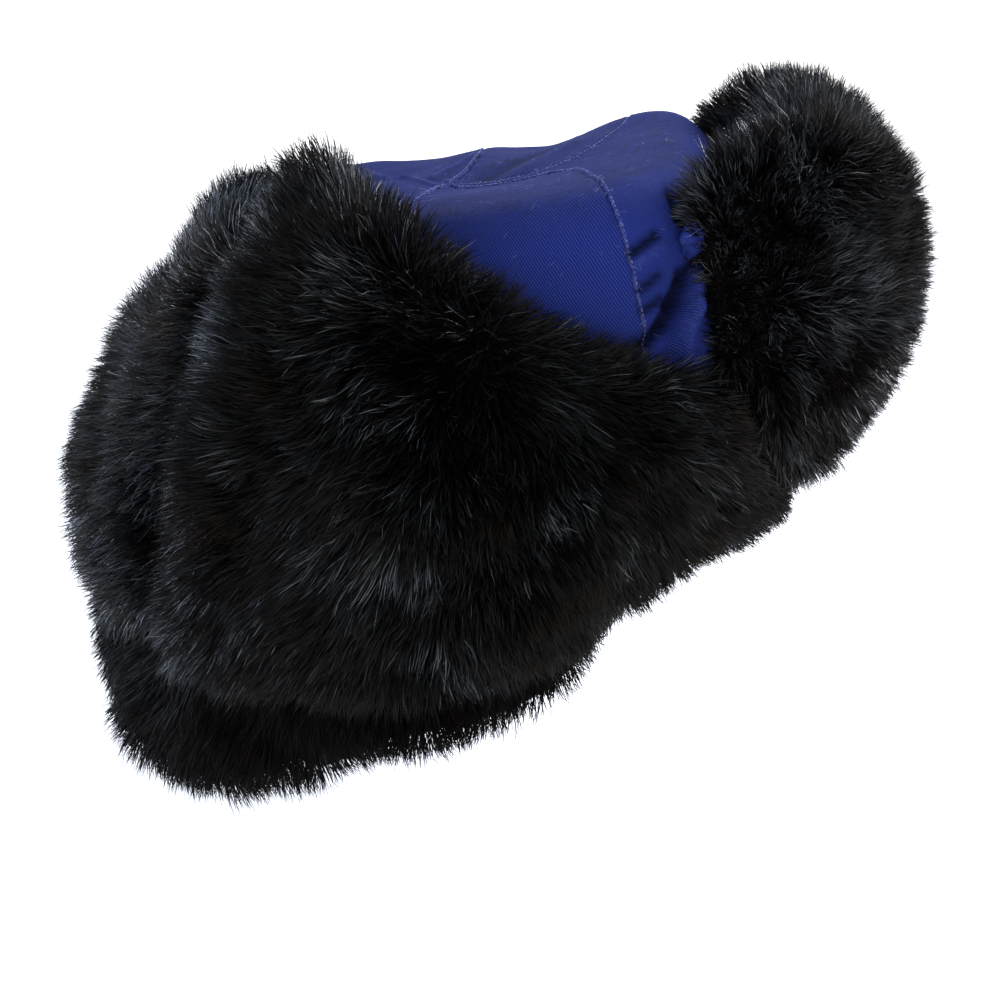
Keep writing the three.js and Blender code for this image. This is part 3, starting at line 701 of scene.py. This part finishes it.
def newTree(name, sockets):
    # a number in sockets is a Float input with that value, a word is the kind of another input
    tree = bpy.data.node_groups.new(name, "GeometryNodeTree")
    tree.interface.new_socket("Geometry", in_out="INPUT", socket_type="NodeSocketGeometry")
    tree.interface.new_socket("Geometry", in_out="OUTPUT", socket_type="NodeSocketGeometry")
    for label, value in sockets.items():
        kind = value if isinstance(value, str) else "Float"
        socket = tree.interface.new_socket(label, in_out="INPUT", socket_type="NodeSocket" + kind)
        if kind == "Float":
            socket.default_value = value
    n = partial(addNode, tree)
    return tree, n("NodeGroupInput", out="node").outputs, n


def runTree(piece, tree, values):
    modifier = piece.modifiers.new(tree.name, "NODES")
    modifier.node_group = tree
    for item in tree.interface.items_tree:
        if item.in_out == "INPUT" and item.name in values:
            modifier[item.identifier] = values[item.name]
    return bakeModifiers(piece)


def makeStrandTree():
    sockets = {"Strand": "Object", "Seed": "Int", "Material": "Material", **strandPlain}
    tree, given, n = newTree("strands_on_surface", sockets)
    amount = n("GeometryNodeInputNamedAttribute", {"Name": "furAmount"})
    density = n("ShaderNodeMath", {0: amount, 1: given["Density"]}, operation="MULTIPLY")
    spread = n(
        "GeometryNodeDistributePointsOnFaces",
        {"Mesh": given["Geometry"], "Density": density, "Seed": given["Seed"]}, "node",
    )
    normal = spread.outputs["Normal"]
    length = n("GeometryNodeInputNamedAttribute", {"Name": "furLength"})
    place = n("GeometryNodeInputPosition")
    swirl = n("ShaderNodeTexNoise", {"Vector": place, "Scale": 27.0, "Detail": 2.0}, "Color")
    swirl = {0: swirl, 1: (3, 3, 3), 2: (-1.5, -1.5, -1.5)}
    swirl = n("ShaderNodeVectorMath", swirl, operation="MULTIPLY_ADD")
    scatter = n(
        "FunctionNodeRandomValue", {"Min": (-1, -1, -1), "Max": (1, 1, 1), "Seed": given["Seed"]},
        data_type="FLOAT_VECTOR",
    )
    standsOff = n("ShaderNodeVectorMath", {0: scatter, 1: normal}, "Value", operation="DOT_PRODUCT")
    standsOff = n("ShaderNodeMath", {0: standsOff, 1: given["Flatness"]}, operation="MULTIPLY")
    standsOff = n("ShaderNodeVectorMath", {0: normal, "Scale": standsOff}, operation="SCALE")
    scatter = n("ShaderNodeVectorMath", {0: scatter, 1: standsOff}, operation="SUBTRACT")
    way = n("GeometryNodeInputNamedAttribute", {"Name": "comb"}, data_type="FLOAT_VECTOR")
    for push, size in ((normal, "Lift"), (scatter, "Spread"), (swirl, "Swirl")):
        pushed = n("ShaderNodeVectorMath", {0: push, "Scale": given[size]}, operation="SCALE")
        way = n("ShaderNodeVectorMath", {0: way, 1: pushed}, operation="ADD")
    falling = n("ShaderNodeCombineXYZ", {"Z": given["Fall"]})
    way = n("ShaderNodeVectorMath", {0: way, 1: falling}, operation="ADD")
    way = n("ShaderNodeVectorMath", {0: way}, operation="NORMALIZE")
    # the tips are drawn to the middles of large mats and, more, of small tufts
    pulls = []
    for size, pull in (("Mat Size", "Mat Pull"), ("Tuft Size", "Tuft Pull")):
        fine = n("ShaderNodeMath", {0: 1.0, 1: given[size]}, operation="DIVIDE")
        cell = n("ShaderNodeTexVoronoi", {"Vector": place, "Scale": fine}, "Position")
        toCell = n("ShaderNodeVectorMath", {0: cell, 1: place}, operation="SUBTRACT")
        pulls.append(n("ShaderNodeVectorMath", {0: toCell, "Scale": given[pull]}, operation="SCALE"))
    toTuft = n("ShaderNodeVectorMath", {0: pulls[0], 1: pulls[1]}, operation="ADD")
    # the tone differs a little from hair to hair and more from tuft to tuft
    own = n("FunctionNodeRandomValue", {"Min": -0.45, "Max": 0.15, "Seed": 7}, data_type="FLOAT")
    patch = n("ShaderNodeTexNoise", {"Vector": place, "Scale": 210.0, "Detail": 3.0}, "Fac")
    area = n("ShaderNodeTexNoise", {"Vector": place, "Scale": 45.0, "Detail": 1.0}, "Fac")
    patch = n("ShaderNodeMath", {0: patch, 1: area}, operation="ADD")
    tone = n("ShaderNodeMath", {0: patch, 1: 1.1, 2: own}, operation="MULTIPLY_ADD")
    tone = n("ShaderNodeMath", {0: tone, 1: 0.45}, operation="SUBTRACT", use_clamp=True)
    # most strands are nearly alike, a few stand out from them
    few = n("FunctionNodeRandomValue", {"Min": 0.0, "Max": 1.0, "Seed": 3}, data_type="FLOAT")
    few = n("ShaderNodeMath", {0: few, 1: 4.0}, operation="POWER")
    sized = n("ShaderNodeMath", {0: few, 1: 0.22, 2: 0.85}, operation="MULTIPLY_ADD")
    long = n("ShaderNodeMath", {0: length, 1: sized}, operation="MULTIPLY")
    points = spread.outputs["Points"]
    for label, kind, value in (
        ("root", "FLOAT_VECTOR", place), ("outward", "FLOAT_VECTOR", normal),
        ("tuft", "FLOAT_VECTOR", toTuft), ("tone", "FLOAT", tone), ("reachOut", "FLOAT", long),
    ):
        values = {"Geometry": points, "Name": label, "Value": value}
        points = n("GeometryNodeStoreNamedAttribute", values, data_type=kind)
    turned = n("FunctionNodeAlignRotationToVector", {"Vector": way}, axis="Z")
    twist = {"Min": (-1, -1, -1), "Max": (1, 1, 1), "Seed": 11}
    twist = n("FunctionNodeRandomValue", twist, data_type="FLOAT_VECTOR")
    facing = n("ShaderNodeVectorMath", {0: twist, 1: (0.8, 0.8, 0.8), 2: normal}, operation="MULTIPLY_ADD")
    facing = {"Rotation": turned, "Vector": facing}
    turned = n("FunctionNodeAlignRotationToVector", facing, axis="Y", pivot_axis="Z")
    scale = n("ShaderNodeCombineXYZ", {"X": given["Width"], "Y": 1.0, "Z": long})
    blade = n("GeometryNodeObjectInfo", {"Object": given["Strand"]}, "Geometry")
    placed = {"Points": points, "Instance": blade, "Rotation": turned, "Scale": scale}
    strands = n("GeometryNodeInstanceOnPoints", placed)
    strands = n("GeometryNodeRealizeInstances", {"Geometry": strands})
    # bend each strand: it droops, leans to its tuft and frizzes, the more the nearer its tip
    along, reachOut = (n("GeometryNodeInputNamedAttribute", {"Name": name}) for name in ("along", "reachOut"))
    outward, tuft, root = (
        n("GeometryNodeInputNamedAttribute", {"Name": name}, data_type="FLOAT_VECTOR")
        for name in ("outward", "tuft", "root")
    )
    along2 = n("ShaderNodeMath", {0: along, 1: 2.0}, operation="POWER")
    sag = along2
    for factor in (reachOut, given["Droop"], -1.0):
        sag = n("ShaderNodeMath", {0: sag, 1: factor}, operation="MULTIPLY")
    here = n("GeometryNodeInputPosition")
    mixed = n("ShaderNodeVectorMath", {0: root, 1: (0.8, 0.8, 0.8), 2: here}, operation="MULTIPLY_ADD")
    ripple = n("ShaderNodeTexNoise", {"Vector": mixed, "Scale": 110.0, "Detail": 2.0}, "Color")
    ripple = n("ShaderNodeVectorMath", {0: ripple, 1: (2, 2, 2), 2: (-1, -1, -1)}, operation="MULTIPLY_ADD")
    frizz = n("ShaderNodeMath", {0: along, 1: given["Frizz"]}, operation="MULTIPLY")
    bends = [
        n("ShaderNodeVectorMath", {0: bend, "Scale": size}, operation="SCALE")
        for bend, size in ((outward, sag), (tuft, along2), (ripple, frizz))
    ]
    shift = n("ShaderNodeVectorMath", {0: bends[0], 1: bends[1]}, operation="ADD")
    shift = n("ShaderNodeVectorMath", {0: shift, 1: bends[2]}, operation="ADD")
    strands = n("GeometryNodeSetPosition", {"Geometry": strands, "Offset": shift})
    for label in ("root", "outward", "tuft", "reachOut", "furAmount", "furLength", "comb"):
        strands = n("GeometryNodeRemoveAttribute", {"Geometry": strands, "Name": label})
    strands = n("GeometryNodeSetMaterial", {"Geometry": strands, "Material": given["Material"]})
    n("NodeGroupOutput", {0: strands}, "node")
    return tree


def makeBlade(name, width, sections):
    # one strand: a thin ribbon that ends in a point, one unit long
    points, along, faces = [], [], []
    for height, share in sections:
        points += [(-width * share / 2, 0, height), (width * share / 2, 0, height)]
        along += [height, height]
    points.append((0, 0, 1))
    along.append(1)
    for i in range(len(sections) - 1):
        faces.append((2 * i, 2 * i + 1, 2 * i + 3, 2 * i + 2))
    last = 2 * (len(sections) - 1)
    faces.append((last, last + 1, last + 2))
    data = bpy.data.meshes.new(name)
    data.from_pydata(points, [], faces)
    data.attributes.new("along", "FLOAT", "POINT").data.foreach_set("value", along)
    data.shade_smooth()
    return bpy.data.objects.new(name, data)


strandTree = makeStrandTree()
bladeWidth = 0.00032
hairBlade = makeBlade("hair_blade", bladeWidth, [(0, 1), (0.68, 0.85)])
threadBlade = makeBlade("thread_blade", bladeWidth, [(0, 1), (0.35, 1), (0.7, 0.9)])


def grow(piece, strands, amounts, lengths, combs, values):
    # turns the piece into about so many strands, where and as dense as amounts say
    count = len(piece.data.vertices)
    amounts = np.broadcast_to(np.asarray(amounts, float), count)
    setAttribute(piece, "furAmount", amounts)
    setAttribute(piece, "furLength", np.broadcast_to(lengths, count))
    setAttribute(piece, "comb", np.broadcast_to(combs, (count, 3)))
    area = sum(f.area * amounts[list(f.vertices)].mean() for f in piece.data.polygons)
    return runTree(piece, strandTree, {"Density": strands / area, **values})


# fur pads
def crownPlug():
    # what the crown takes up, with clear space, carried on down below the rim
    rows, sides = 40, 144
    up = np.concatenate([[0], np.linspace(0, 1, rows + 1)])
    angle = np.linspace(0, 360, sides, endpoint=False)
    p = crownShape(np.repeat(up[:, None], sides, 1), np.repeat(angle[None], rows + 2, 0), plugClear)
    p[0, :, 2] = plugBottom
    plug = meshObject("crown_plug", p.reshape(-1, 3), tubeFaces(rows + 1, sides), smooth=False)
    faceOut(plug)
    return plug


def halfSpace(name, point, facing):
    # a block, bigger than the hat, that fills all on the far side of a plane
    big = 800
    facing = Vector(facing).normalized()
    work = bmesh.new()
    bmesh.ops.create_cube(work, size=big)
    bmesh.ops.translate(work, verts=work.verts, vec=(0, 0, big / 2))
    turn = Vector((0, 0, 1)).rotation_difference(facing).to_matrix()
    bmesh.ops.rotate(work, cent=(0, 0, 0), matrix=turn, verts=work.verts)
    start = Vector(point) + facing * (gap / 2)
    points = [(v.co + start)[:] for v in work.verts]
    faces = [[v.index for v in f.verts] for f in work.faces]
    work.free()
    block = meshObject(name, points, faces, smooth=False)
    faceOut(block)
    return block


def cutAway(piece, cutter, keepInside=False):
    modifier = piece.modifiers.new("cut", "BOOLEAN")
    modifier.operation = "INTERSECT" if keepInside else "DIFFERENCE"
    modifier.solver = "MANIFOLD"
    modifier.object = cutter
    return bakeModifiers(piece)


plug = crownPlug()
tierPoint = (0, 0, tierPlane["height"])
upperHalf = halfSpace("upper_half", tierPoint, (-tierPlane["slope"], 0, 1))
lowerHalf = halfSpace("lower_half", tierPoint, (tierPlane["slope"], 0, -1))
visorPoint = (visorPlane["x"], 0, visorPlane["z"])
visorHalf = halfSpace("visor_half", visorPoint, (-visorPlane["slope"], 0, 1))
flapHalf = halfSpace("flap_half", visorPoint, (visorPlane["slope"], 0, -1))
creaseTurn = math.radians(creaseAngle)
creaseHalves = {}
for hand in (1, -1):
    for front in (1, -1):
        facing = (front * math.sin(creaseTurn), front * hand * math.cos(creaseTurn), 0)
        creaseHalves[hand, front] = halfSpace(f"crease_{hand}_{front}", (axisX, 0, 0), facing)

# The hair of a puff stands straight out at its centre and fans away from it all round. combedEnds
# and combedMiddle are how strongly the table's comb counts at the pad's ends and midway. fanned is
# how strongly the fan does, from nothing at fanStart to all of it at fanFull. A hollow is a line
# along which the skin lies deeper: from, to, half width, out.
plainPad = {
    "fanStart": 0, "fanFull": 1, "fanned": 0.0, "combedEnds": 0.1, "combedMiddle": 0.1,
    "length": 22, "depth": 15, "parting": 0, "lift": 0.85, "fall": -0.12, "hollows": [],
}
padTable = [
    {
        "node": "ear_flap_right", "rows": earFlapRows, "inside": [upperHalf, flapHalf, creaseHalves[1, 1]],
        "centre": (0, -128, 119), "fanStart": 22, "fanFull": 84, "fanned": 1.0,
        "strands": 64000, "seed": 5, "hair": "ear",
    },
    {
        "node": "ear_flap_left", "rows": lowered(earFlapRows),
        "inside": [upperHalf, flapHalf, creaseHalves[-1, 1]],
        "centre": (0, 128, 90), "fanStart": 14, "fanFull": 80, "fanned": 1.0,
        "strands": 34000, "seed": 6, "hair": "ear",
    },
    {
        "node": "neck_flap", "rows": bothSides(neckFlapRows),
        "inside": [upperHalf, creaseHalves[1, -1], creaseHalves[-1, -1]],
        "centre": (-60, 0, 110), "combedMiddle": 0.8, "parting": 15,
        "strands": 48000, "depth": 14, "lift": 0.8, "fall": -0.1, "seed": 7, "hair": "guard",
    },
    {
        "node": "nape_roll", "rows": bothSides(napeRollRows), "inside": [lowerHalf],
        "centre": (-10, 0, 60), "combedEnds": 0.6, "combedMiddle": 0.9, "parting": -180,
        "strands": 54000, "length": 23, "depth": 14, "lift": 0.75, "fall": -0.2, "seed": 8, "hair": "nape",
    },
    {
        "node": "visor", "rows": roundFront(visorRows), "inside": [visorHalf],
        "centre": (84, 0, 118), "fanStart": 60, "fanFull": 110, "fanned": 0.5, "parting": -20,
        "strands": 55000, "length": 21, "depth": 16, "lift": 1.0, "fall": 0.0, "seed": 9, "hair": "visor",
        "hollows": [((120, -66, 178), (128, 10, 166), 24, -9), ((126, -60, 68), (130, 0, 52), 20, -5)],
    },
]
pads = [{**plainPad, **pad} for pad in padTable]
hairGrowth = {
    "Strand": hairBlade, "Spread": 0.28, "Droop": 0.16, "Swirl": 0.75, "Mat Size": 0.015,
    "Mat Pull": 0.25, "Tuft Size": 0.0042, "Tuft Pull": 0.48, "Frizz": 0.0038,
}


def coatShare(rows, t):
    row = columnsAt(padNames, rows, t)
    return np.clip(np.minimum(row["deep"], row["tall"]) / fleece["thinBelow"], fleece["leastCoat"], 1)


def combWay(pad, t, around, inside):
    # the way the hair lies along the skin; its length says how strongly it is combed
    rows, step = pad["rows"], 0.004
    here = padShape(rows, t, around, inside)
    ahead = unit(padShape(rows, t + step, around, inside) - padShape(rows, t - step, around, inside))
    upward = unit(padShape(rows, t, around + 1, inside) - padShape(rows, t, around - 1, inside))
    turn = np.radians(columnsAt(padNames, rows, t)["comb"])
    climb = np.cos(turn)
    parted = climb * np.clip((around - pad["parting"]) / fleece["partingWidth"], -1, 1)
    climb = np.where(climb > 0, parted, climb)
    combed = unit(np.sin(turn)[..., None] * ahead + climb[..., None] * upward)
    away = here - np.array(pad["centre"], float)
    normal = unit(np.cross(upward, ahead))
    flat = away - (away * normal).sum(-1, keepdims=True) * normal
    far = np.linalg.norm(away, axis=-1, keepdims=True)
    fan = unit(flat) * np.clip((far - pad["fanStart"]) / (pad["fanFull"] - pad["fanStart"]), 0, 1)
    middle = np.sin(np.pi * t)[..., None] ** 2
    strength = pad["combedEnds"] + (pad["combedMiddle"] - pad["combedEnds"]) * middle
    return strength * combed + pad["fanned"] * fan


def makePad(pad):
    rows, sides, depth = pad["rows"], fleece["sides"], pad["depth"]
    middle = padShape(rows, np.linspace(0, 1, 80), np.zeros(80), 0)
    along = int(stepsAcross(middle[None]).sum() / fleece["spacing"])
    t = np.repeat(np.linspace(0, 1, along + 1)[:, None], sides, 1)
    around = np.repeat(np.linspace(0, 360, sides, endpoint=False)[None], along + 1, 0)
    around = np.where(around > 180, around - 360, around)
    coat = coatShare(rows, t)
    plain = padShape(rows, t, around, depth * coat)
    lumps = sum(high * crumple(plain, size, pad["seed"] + more) for high, size, more in fleece["lumps"])
    p = padShape(rows, t, around, (depth - lumps) * coat)
    core = padShape(rows, t, around, fleece["core"])
    for line in pad["hollows"]:
        p = p + unit(p - core) * ridge(p, *line)[..., None]
    points = p.reshape(-1, 3)
    skin = meshObject(pad["node"] + "_underfur", points, tubeFaces(along, sides), underfur)
    faceOut(skin)
    cutAway(skin, plug)
    for block in pad["inside"]:
        cutAway(skin, block, keepInside=True)
    skin.data.shade_smooth()
    # carry the comb and the hair length over to the cut skin
    tree = kdtree.KDTree(len(points))
    for i, q in enumerate(points):
        tree.insert(q * mm, i)
    tree.balance()
    comb = combWay(pad, t, around, depth * coat).reshape(-1, 3)
    size = coat.ravel()
    rim = dict(zip(crown["names"], crown["rings"][0]))
    combs, lengths, amounts = [], [], []
    for v in skin.data.vertices:
        place, i, away = tree.find(v.co)
        x, y, z = v.co / mm
        onPad = away < fleece["skinReach"] * mm
        belowRim = z < rim["z"] + rim["rise"] * (x - rim["x"]) - fleece["cutBelowRim"]
        offTier = abs(z - tierPlane["height"] - tierPlane["slope"] * x) > fleece["cutOffTier"]
        combs.append(comb[i] if onPad else (0, 0, -1))
        lengths.append(pad["length"] * mm * (size[i] if onPad else fleece["cutLength"]))
        amounts.append(1.0 if onPad else fleece["cutAmount"] if belowRim and offTier else 0.0)
    fur = newObject(pad["node"] + "_fur", skin.data.copy())
    grow(fur, pad["strands"], amounts, lengths, combs, {
        **hairGrowth, "Lift": pad["lift"], "Fall": pad["fall"], "Seed": pad["seed"],
        "Material": hairs[pad["hair"]],
    })
    print(pad["node"], "strand faces", len(fur.data.polygons))
    return skin, fur


padPieces = [(pad, *makePad(pad)) for pad in pads]
for block in [plug, upperHalf, lowerHalf, visorHalf, flapHalf, *creaseHalves.values()]:
    bpy.data.objects.remove(block)
print("fur done")

# seams: a row of stitches along each lapped edge
stitching = {
    "pitch": 1.8, "length": 1.25, "thick": 0.34,
    "beside": 0.5,  # in from the cloth's edge
    "proud": 0.1,
    "sides": 5,
    "rings": [(-0.5, 0.25), (-0.36, 0.8), (0, 1), (0.36, 0.8), (0.5, 0.25)],  # shares of length, thickness
    "tilt": 0.2,
    "least": 0.55,  # how much the stitches differ in size
    "most": 1.15,
}


def makeStitchMesh():
    work, sides = bmesh.new(), stitching["sides"]
    made = []
    for along, size in stitching["rings"]:
        radius, ring = size * stitching["thick"] / 2 * mm, []
        for k in range(sides):
            a = k * math.tau / sides
            ring.append(work.verts.new(
                (radius * math.cos(a), radius * math.sin(a), along * stitching["length"] * mm)
            ))
        made.append(ring)
    for lower, upper in zip(made, made[1:]):
        for k in range(sides):
            work.faces.new((lower[k], lower[(k + 1) % sides], upper[(k + 1) % sides], upper[k]))
    work.faces.new(made[0][::-1])
    work.faces.new(made[-1])
    data = bpy.data.meshes.new("stitch")
    work.to_mesh(data)
    work.free()
    data.shade_smooth()
    return bpy.data.objects.new("stitch", data)


def makeStitchTree():
    tilt = stitching["tilt"]
    tree, given, n = newTree("stitches_on_path", {"Stitch": "Object", "Pitch": 0.003, "Material": "Material"})
    path = n("GeometryNodeMeshToCurve", {"Mesh": given["Geometry"]})
    walked = n("GeometryNodeCurveToPoints", {"Curve": path, "Length": given["Pitch"]}, "node", mode="LENGTH")
    stitch = n("GeometryNodeObjectInfo", {"Object": given["Stitch"]}, "Geometry")
    tilts = {"Min": (-tilt, -tilt, 0), "Max": (tilt, tilt, 0), "Seed": 4}
    tilts = n("FunctionNodeRandomValue", tilts, data_type="FLOAT_VECTOR")
    turned = {"Rotation": walked.outputs["Rotation"], 1: tilts}
    turned = n("FunctionNodeRotateRotation", turned, rotation_space="LOCAL")
    sizes = {"Min": stitching["least"], "Max": stitching["most"], "Seed": 2}
    sizes = n("FunctionNodeRandomValue", sizes, data_type="FLOAT")
    placed = {"Points": walked.outputs["Points"], "Instance": stitch, "Rotation": turned, "Scale": sizes}
    made = n("GeometryNodeInstanceOnPoints", placed)
    made = n("GeometryNodeRealizeInstances", {"Geometry": made})
    made = n("GeometryNodeSetMaterial", {"Geometry": made, "Material": given["Material"]})
    n("NodeGroupOutput", {0: made}, "node")
    return tree


def makeStitches():
    # the path of each row lies on a lapped edge, both sides of the gores that lie over the others
    points, edges, beside = [], [], stitching["beside"]
    lapped = [outer for gore, piece, outer in crownPieces if gore["over"]]
    for outer in lapped + [outer[:, ::-1] for outer in lapped]:
        away = walkedAcross(outer)
        first = len(points)
        for i in range(2, outer.shape[0] - 3):
            j = int(np.searchsorted(away[i], beside))
            share = (beside - away[i, j - 1]) / max(away[i, j] - away[i, j - 1], 1e-6)
            q = outer[i, j - 1] + (outer[i, j] - outer[i, j - 1]) * share
            points.append(q - inward(q) * stitching["proud"])
        edges += [(k, k + 1) for k in range(first, len(points) - 1)]
    data = bpy.data.meshes.new("crown_stitches")
    data.from_pydata([tuple(p * mm) for p in points], edges, [])
    values = {"Stitch": makeStitchMesh(), "Pitch": stitching["pitch"] * mm, "Material": seamThread}
    return runTree(newObject("crown_stitches", data), makeStitchTree(), values)


stitches = makeStitches()
print("stitches done", len(stitches.data.polygons))

# lint and loose fibres on the cloth, thickest along the seams and on the top
lintOn = {
    "fibres": 4200, "length": 3.2, "alongSeams": 1.0, "seamWidth": 1.2, "onTop": 0.16,
    "topFrom": 118.0, "topOver": 25.0, "elsewhere": 0.02,
    "growth": {
        "Strand": threadBlade, "Lift": 0.12, "Spread": 1.0, "Droop": 0.05, "Flatness": 0.93, "Swirl": 0.0,
        "Mat Pull": 0.0, "Tuft Pull": 0.0, "Frizz": 0.0012, "Width": 0.55, "Seed": 21,
        "Material": looseThread,
    },
}


def makeLint():
    points, faces, amounts = [], [], []
    for gore, piece, outer in crownPieces:
        rows, columns = outer.shape[0] - 1, outer.shape[1] - 1
        faces += gridFaces(rows, columns, start=len(points))
        away = walkedAcross(outer)
        near = np.minimum(away, away[:, -1:] - away)
        top = np.clip((outer[..., 2] - lintOn["topFrom"]) / lintOn["topOver"], 0, 1)
        amount = lintOn["alongSeams"] * np.exp(-(near / lintOn["seamWidth"]) ** 2)
        amounts += list((amount + lintOn["onTop"] * top + lintOn["elsewhere"]).ravel())
        points += [tuple(q) for q in outer.reshape(-1, 3)]
    piece = meshObject("crown_lint", points, faces)
    return grow(piece, lintOn["fibres"], amounts, lintOn["length"] * mm, (0, 0, 0), lintOn["growth"])


lint = makeLint()
print("lint done", len(lint.data.polygons))

# the twill knot that holds the visor's corner
tack = {
    "x": 66.0, "y": -64.0, "z": 136.5, "wide": 4.5, "deep": 4.5, "tall": 5.5, "knots": 5, "lump": 0.16,
    "creases": [(0.14, 0.6, 2.0), (0.1, 0.26, 5.0)],  # height, size, seed
    # the cloth is pale where it bulges more than wornFrom, and darker with painted shade in its hollows where
    # it bulges less than creaseFrom
    "wornFrom": 0.9,
    "creaseFrom": 0.95,
    "creaseGain": 4.0,
    "darkest": 0.8,
    "patternTall": 9.0,
    "patternWide": 5.0,
    "threads": 30,
    "threadLength": 6.0,
    "threadComb": (0.2, -0.3, -0.6),
    "growth": {
        "Strand": threadBlade, "Lift": 0.7, "Spread": 0.7, "Droop": 0.1, "Tuft Size": 0.01,
        "Tuft Pull": 0.0, "Frizz": 0.004, "Width": 1.2, "Fall": -0.2, "Seed": 31, "Material": looseThread,
    },
}


def makeTack():
    rows, sides, pole = 40, 56, 0.02
    out = unit(np.array([tack["x"] - axisX, tack["y"], 0.0]))
    across = np.array([out[1], -out[0], 0.0])
    polar = np.linspace(pole, math.pi - pole, rows + 1)[:, None] * np.ones(sides)
    turn = np.linspace(0, math.tau, sides, endpoint=False)[None] * np.ones((rows + 1, 1))
    x, y, z = np.sin(polar) * np.cos(turn), np.sin(polar) * np.sin(turn), np.cos(polar)
    raw = np.stack([x, y, z], -1)
    creased = 1 + sum(high * crumple(raw, size, seed) for high, size, seed in tack["creases"])
    lump = (1 + tack["lump"] * np.sin(tack["knots"] * np.arctan2(z, x)) * (1 - y * y)) * creased
    p = np.array([tack["x"], tack["y"], tack["z"]]) + out * (y * tack["deep"])[..., None]
    p = p + across * (x * tack["wide"] * lump)[..., None]
    p = p + np.array([0, 0, 1.0]) * (z * tack["tall"] * lump)[..., None]
    piece = meshObject("visor_tack_cloth", p.reshape(-1, 3), tubeFaces(rows, sides), navyTwill)
    creased = creased.ravel()
    setAttribute(piece, "worn", np.clip(creased - tack["wornFrom"], 0, 1))
    setAttribute(piece, "seamAway", np.full(len(creased), seam["none"]))
    setAttribute(piece, "dustAndPaintedShade", np.zeros(len(creased)))
    # painted shade in the knot's hollows
    dark = (tack["creaseFrom"] - creased) * tack["creaseGain"]
    setAttribute(piece, "paintedCreaseShade", np.clip(dark, 0, tack["darkest"]))
    flat = np.stack([polar * tack["patternTall"], turn * tack["patternWide"]], -1)
    setPattern(piece, flat.reshape(-1, 2))
    faceOut(piece, merge=False)
    piece.data.shade_smooth()
    threads = newObject("visor_tack_threads", piece.data.copy())
    lengths = tack["threadLength"] * mm
    return piece, grow(threads, tack["threads"], 1.0, lengths, tack["threadComb"], tack["growth"])


tackPiece, tackThreads = makeTack()
print("tack done")

# each piece rides on the frame and stands for its solid
for gore, piece, outer in crownPieces:
    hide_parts(gore["name"])
for pad, skin, fur in padPieces:
    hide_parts(pad["node"])
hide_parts("visor_tack")
clothPieces = [piece for gore, piece, outer in crownPieces] + [stitches, lint, tackPiece, tackThreads]
furPieces = [part for pad, skin, fur in padPieces for part in (skin, fur)]
for piece in clothPieces + furPieces:
    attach(piece, "root")
    print(piece.name, "triangles", len(piece.data.loops) - 2 * len(piece.data.polygons))
print("triangles in all", sum(len(p.data.loops) - 2 * len(p.data.polygons) for p in clothPieces + furPieces))
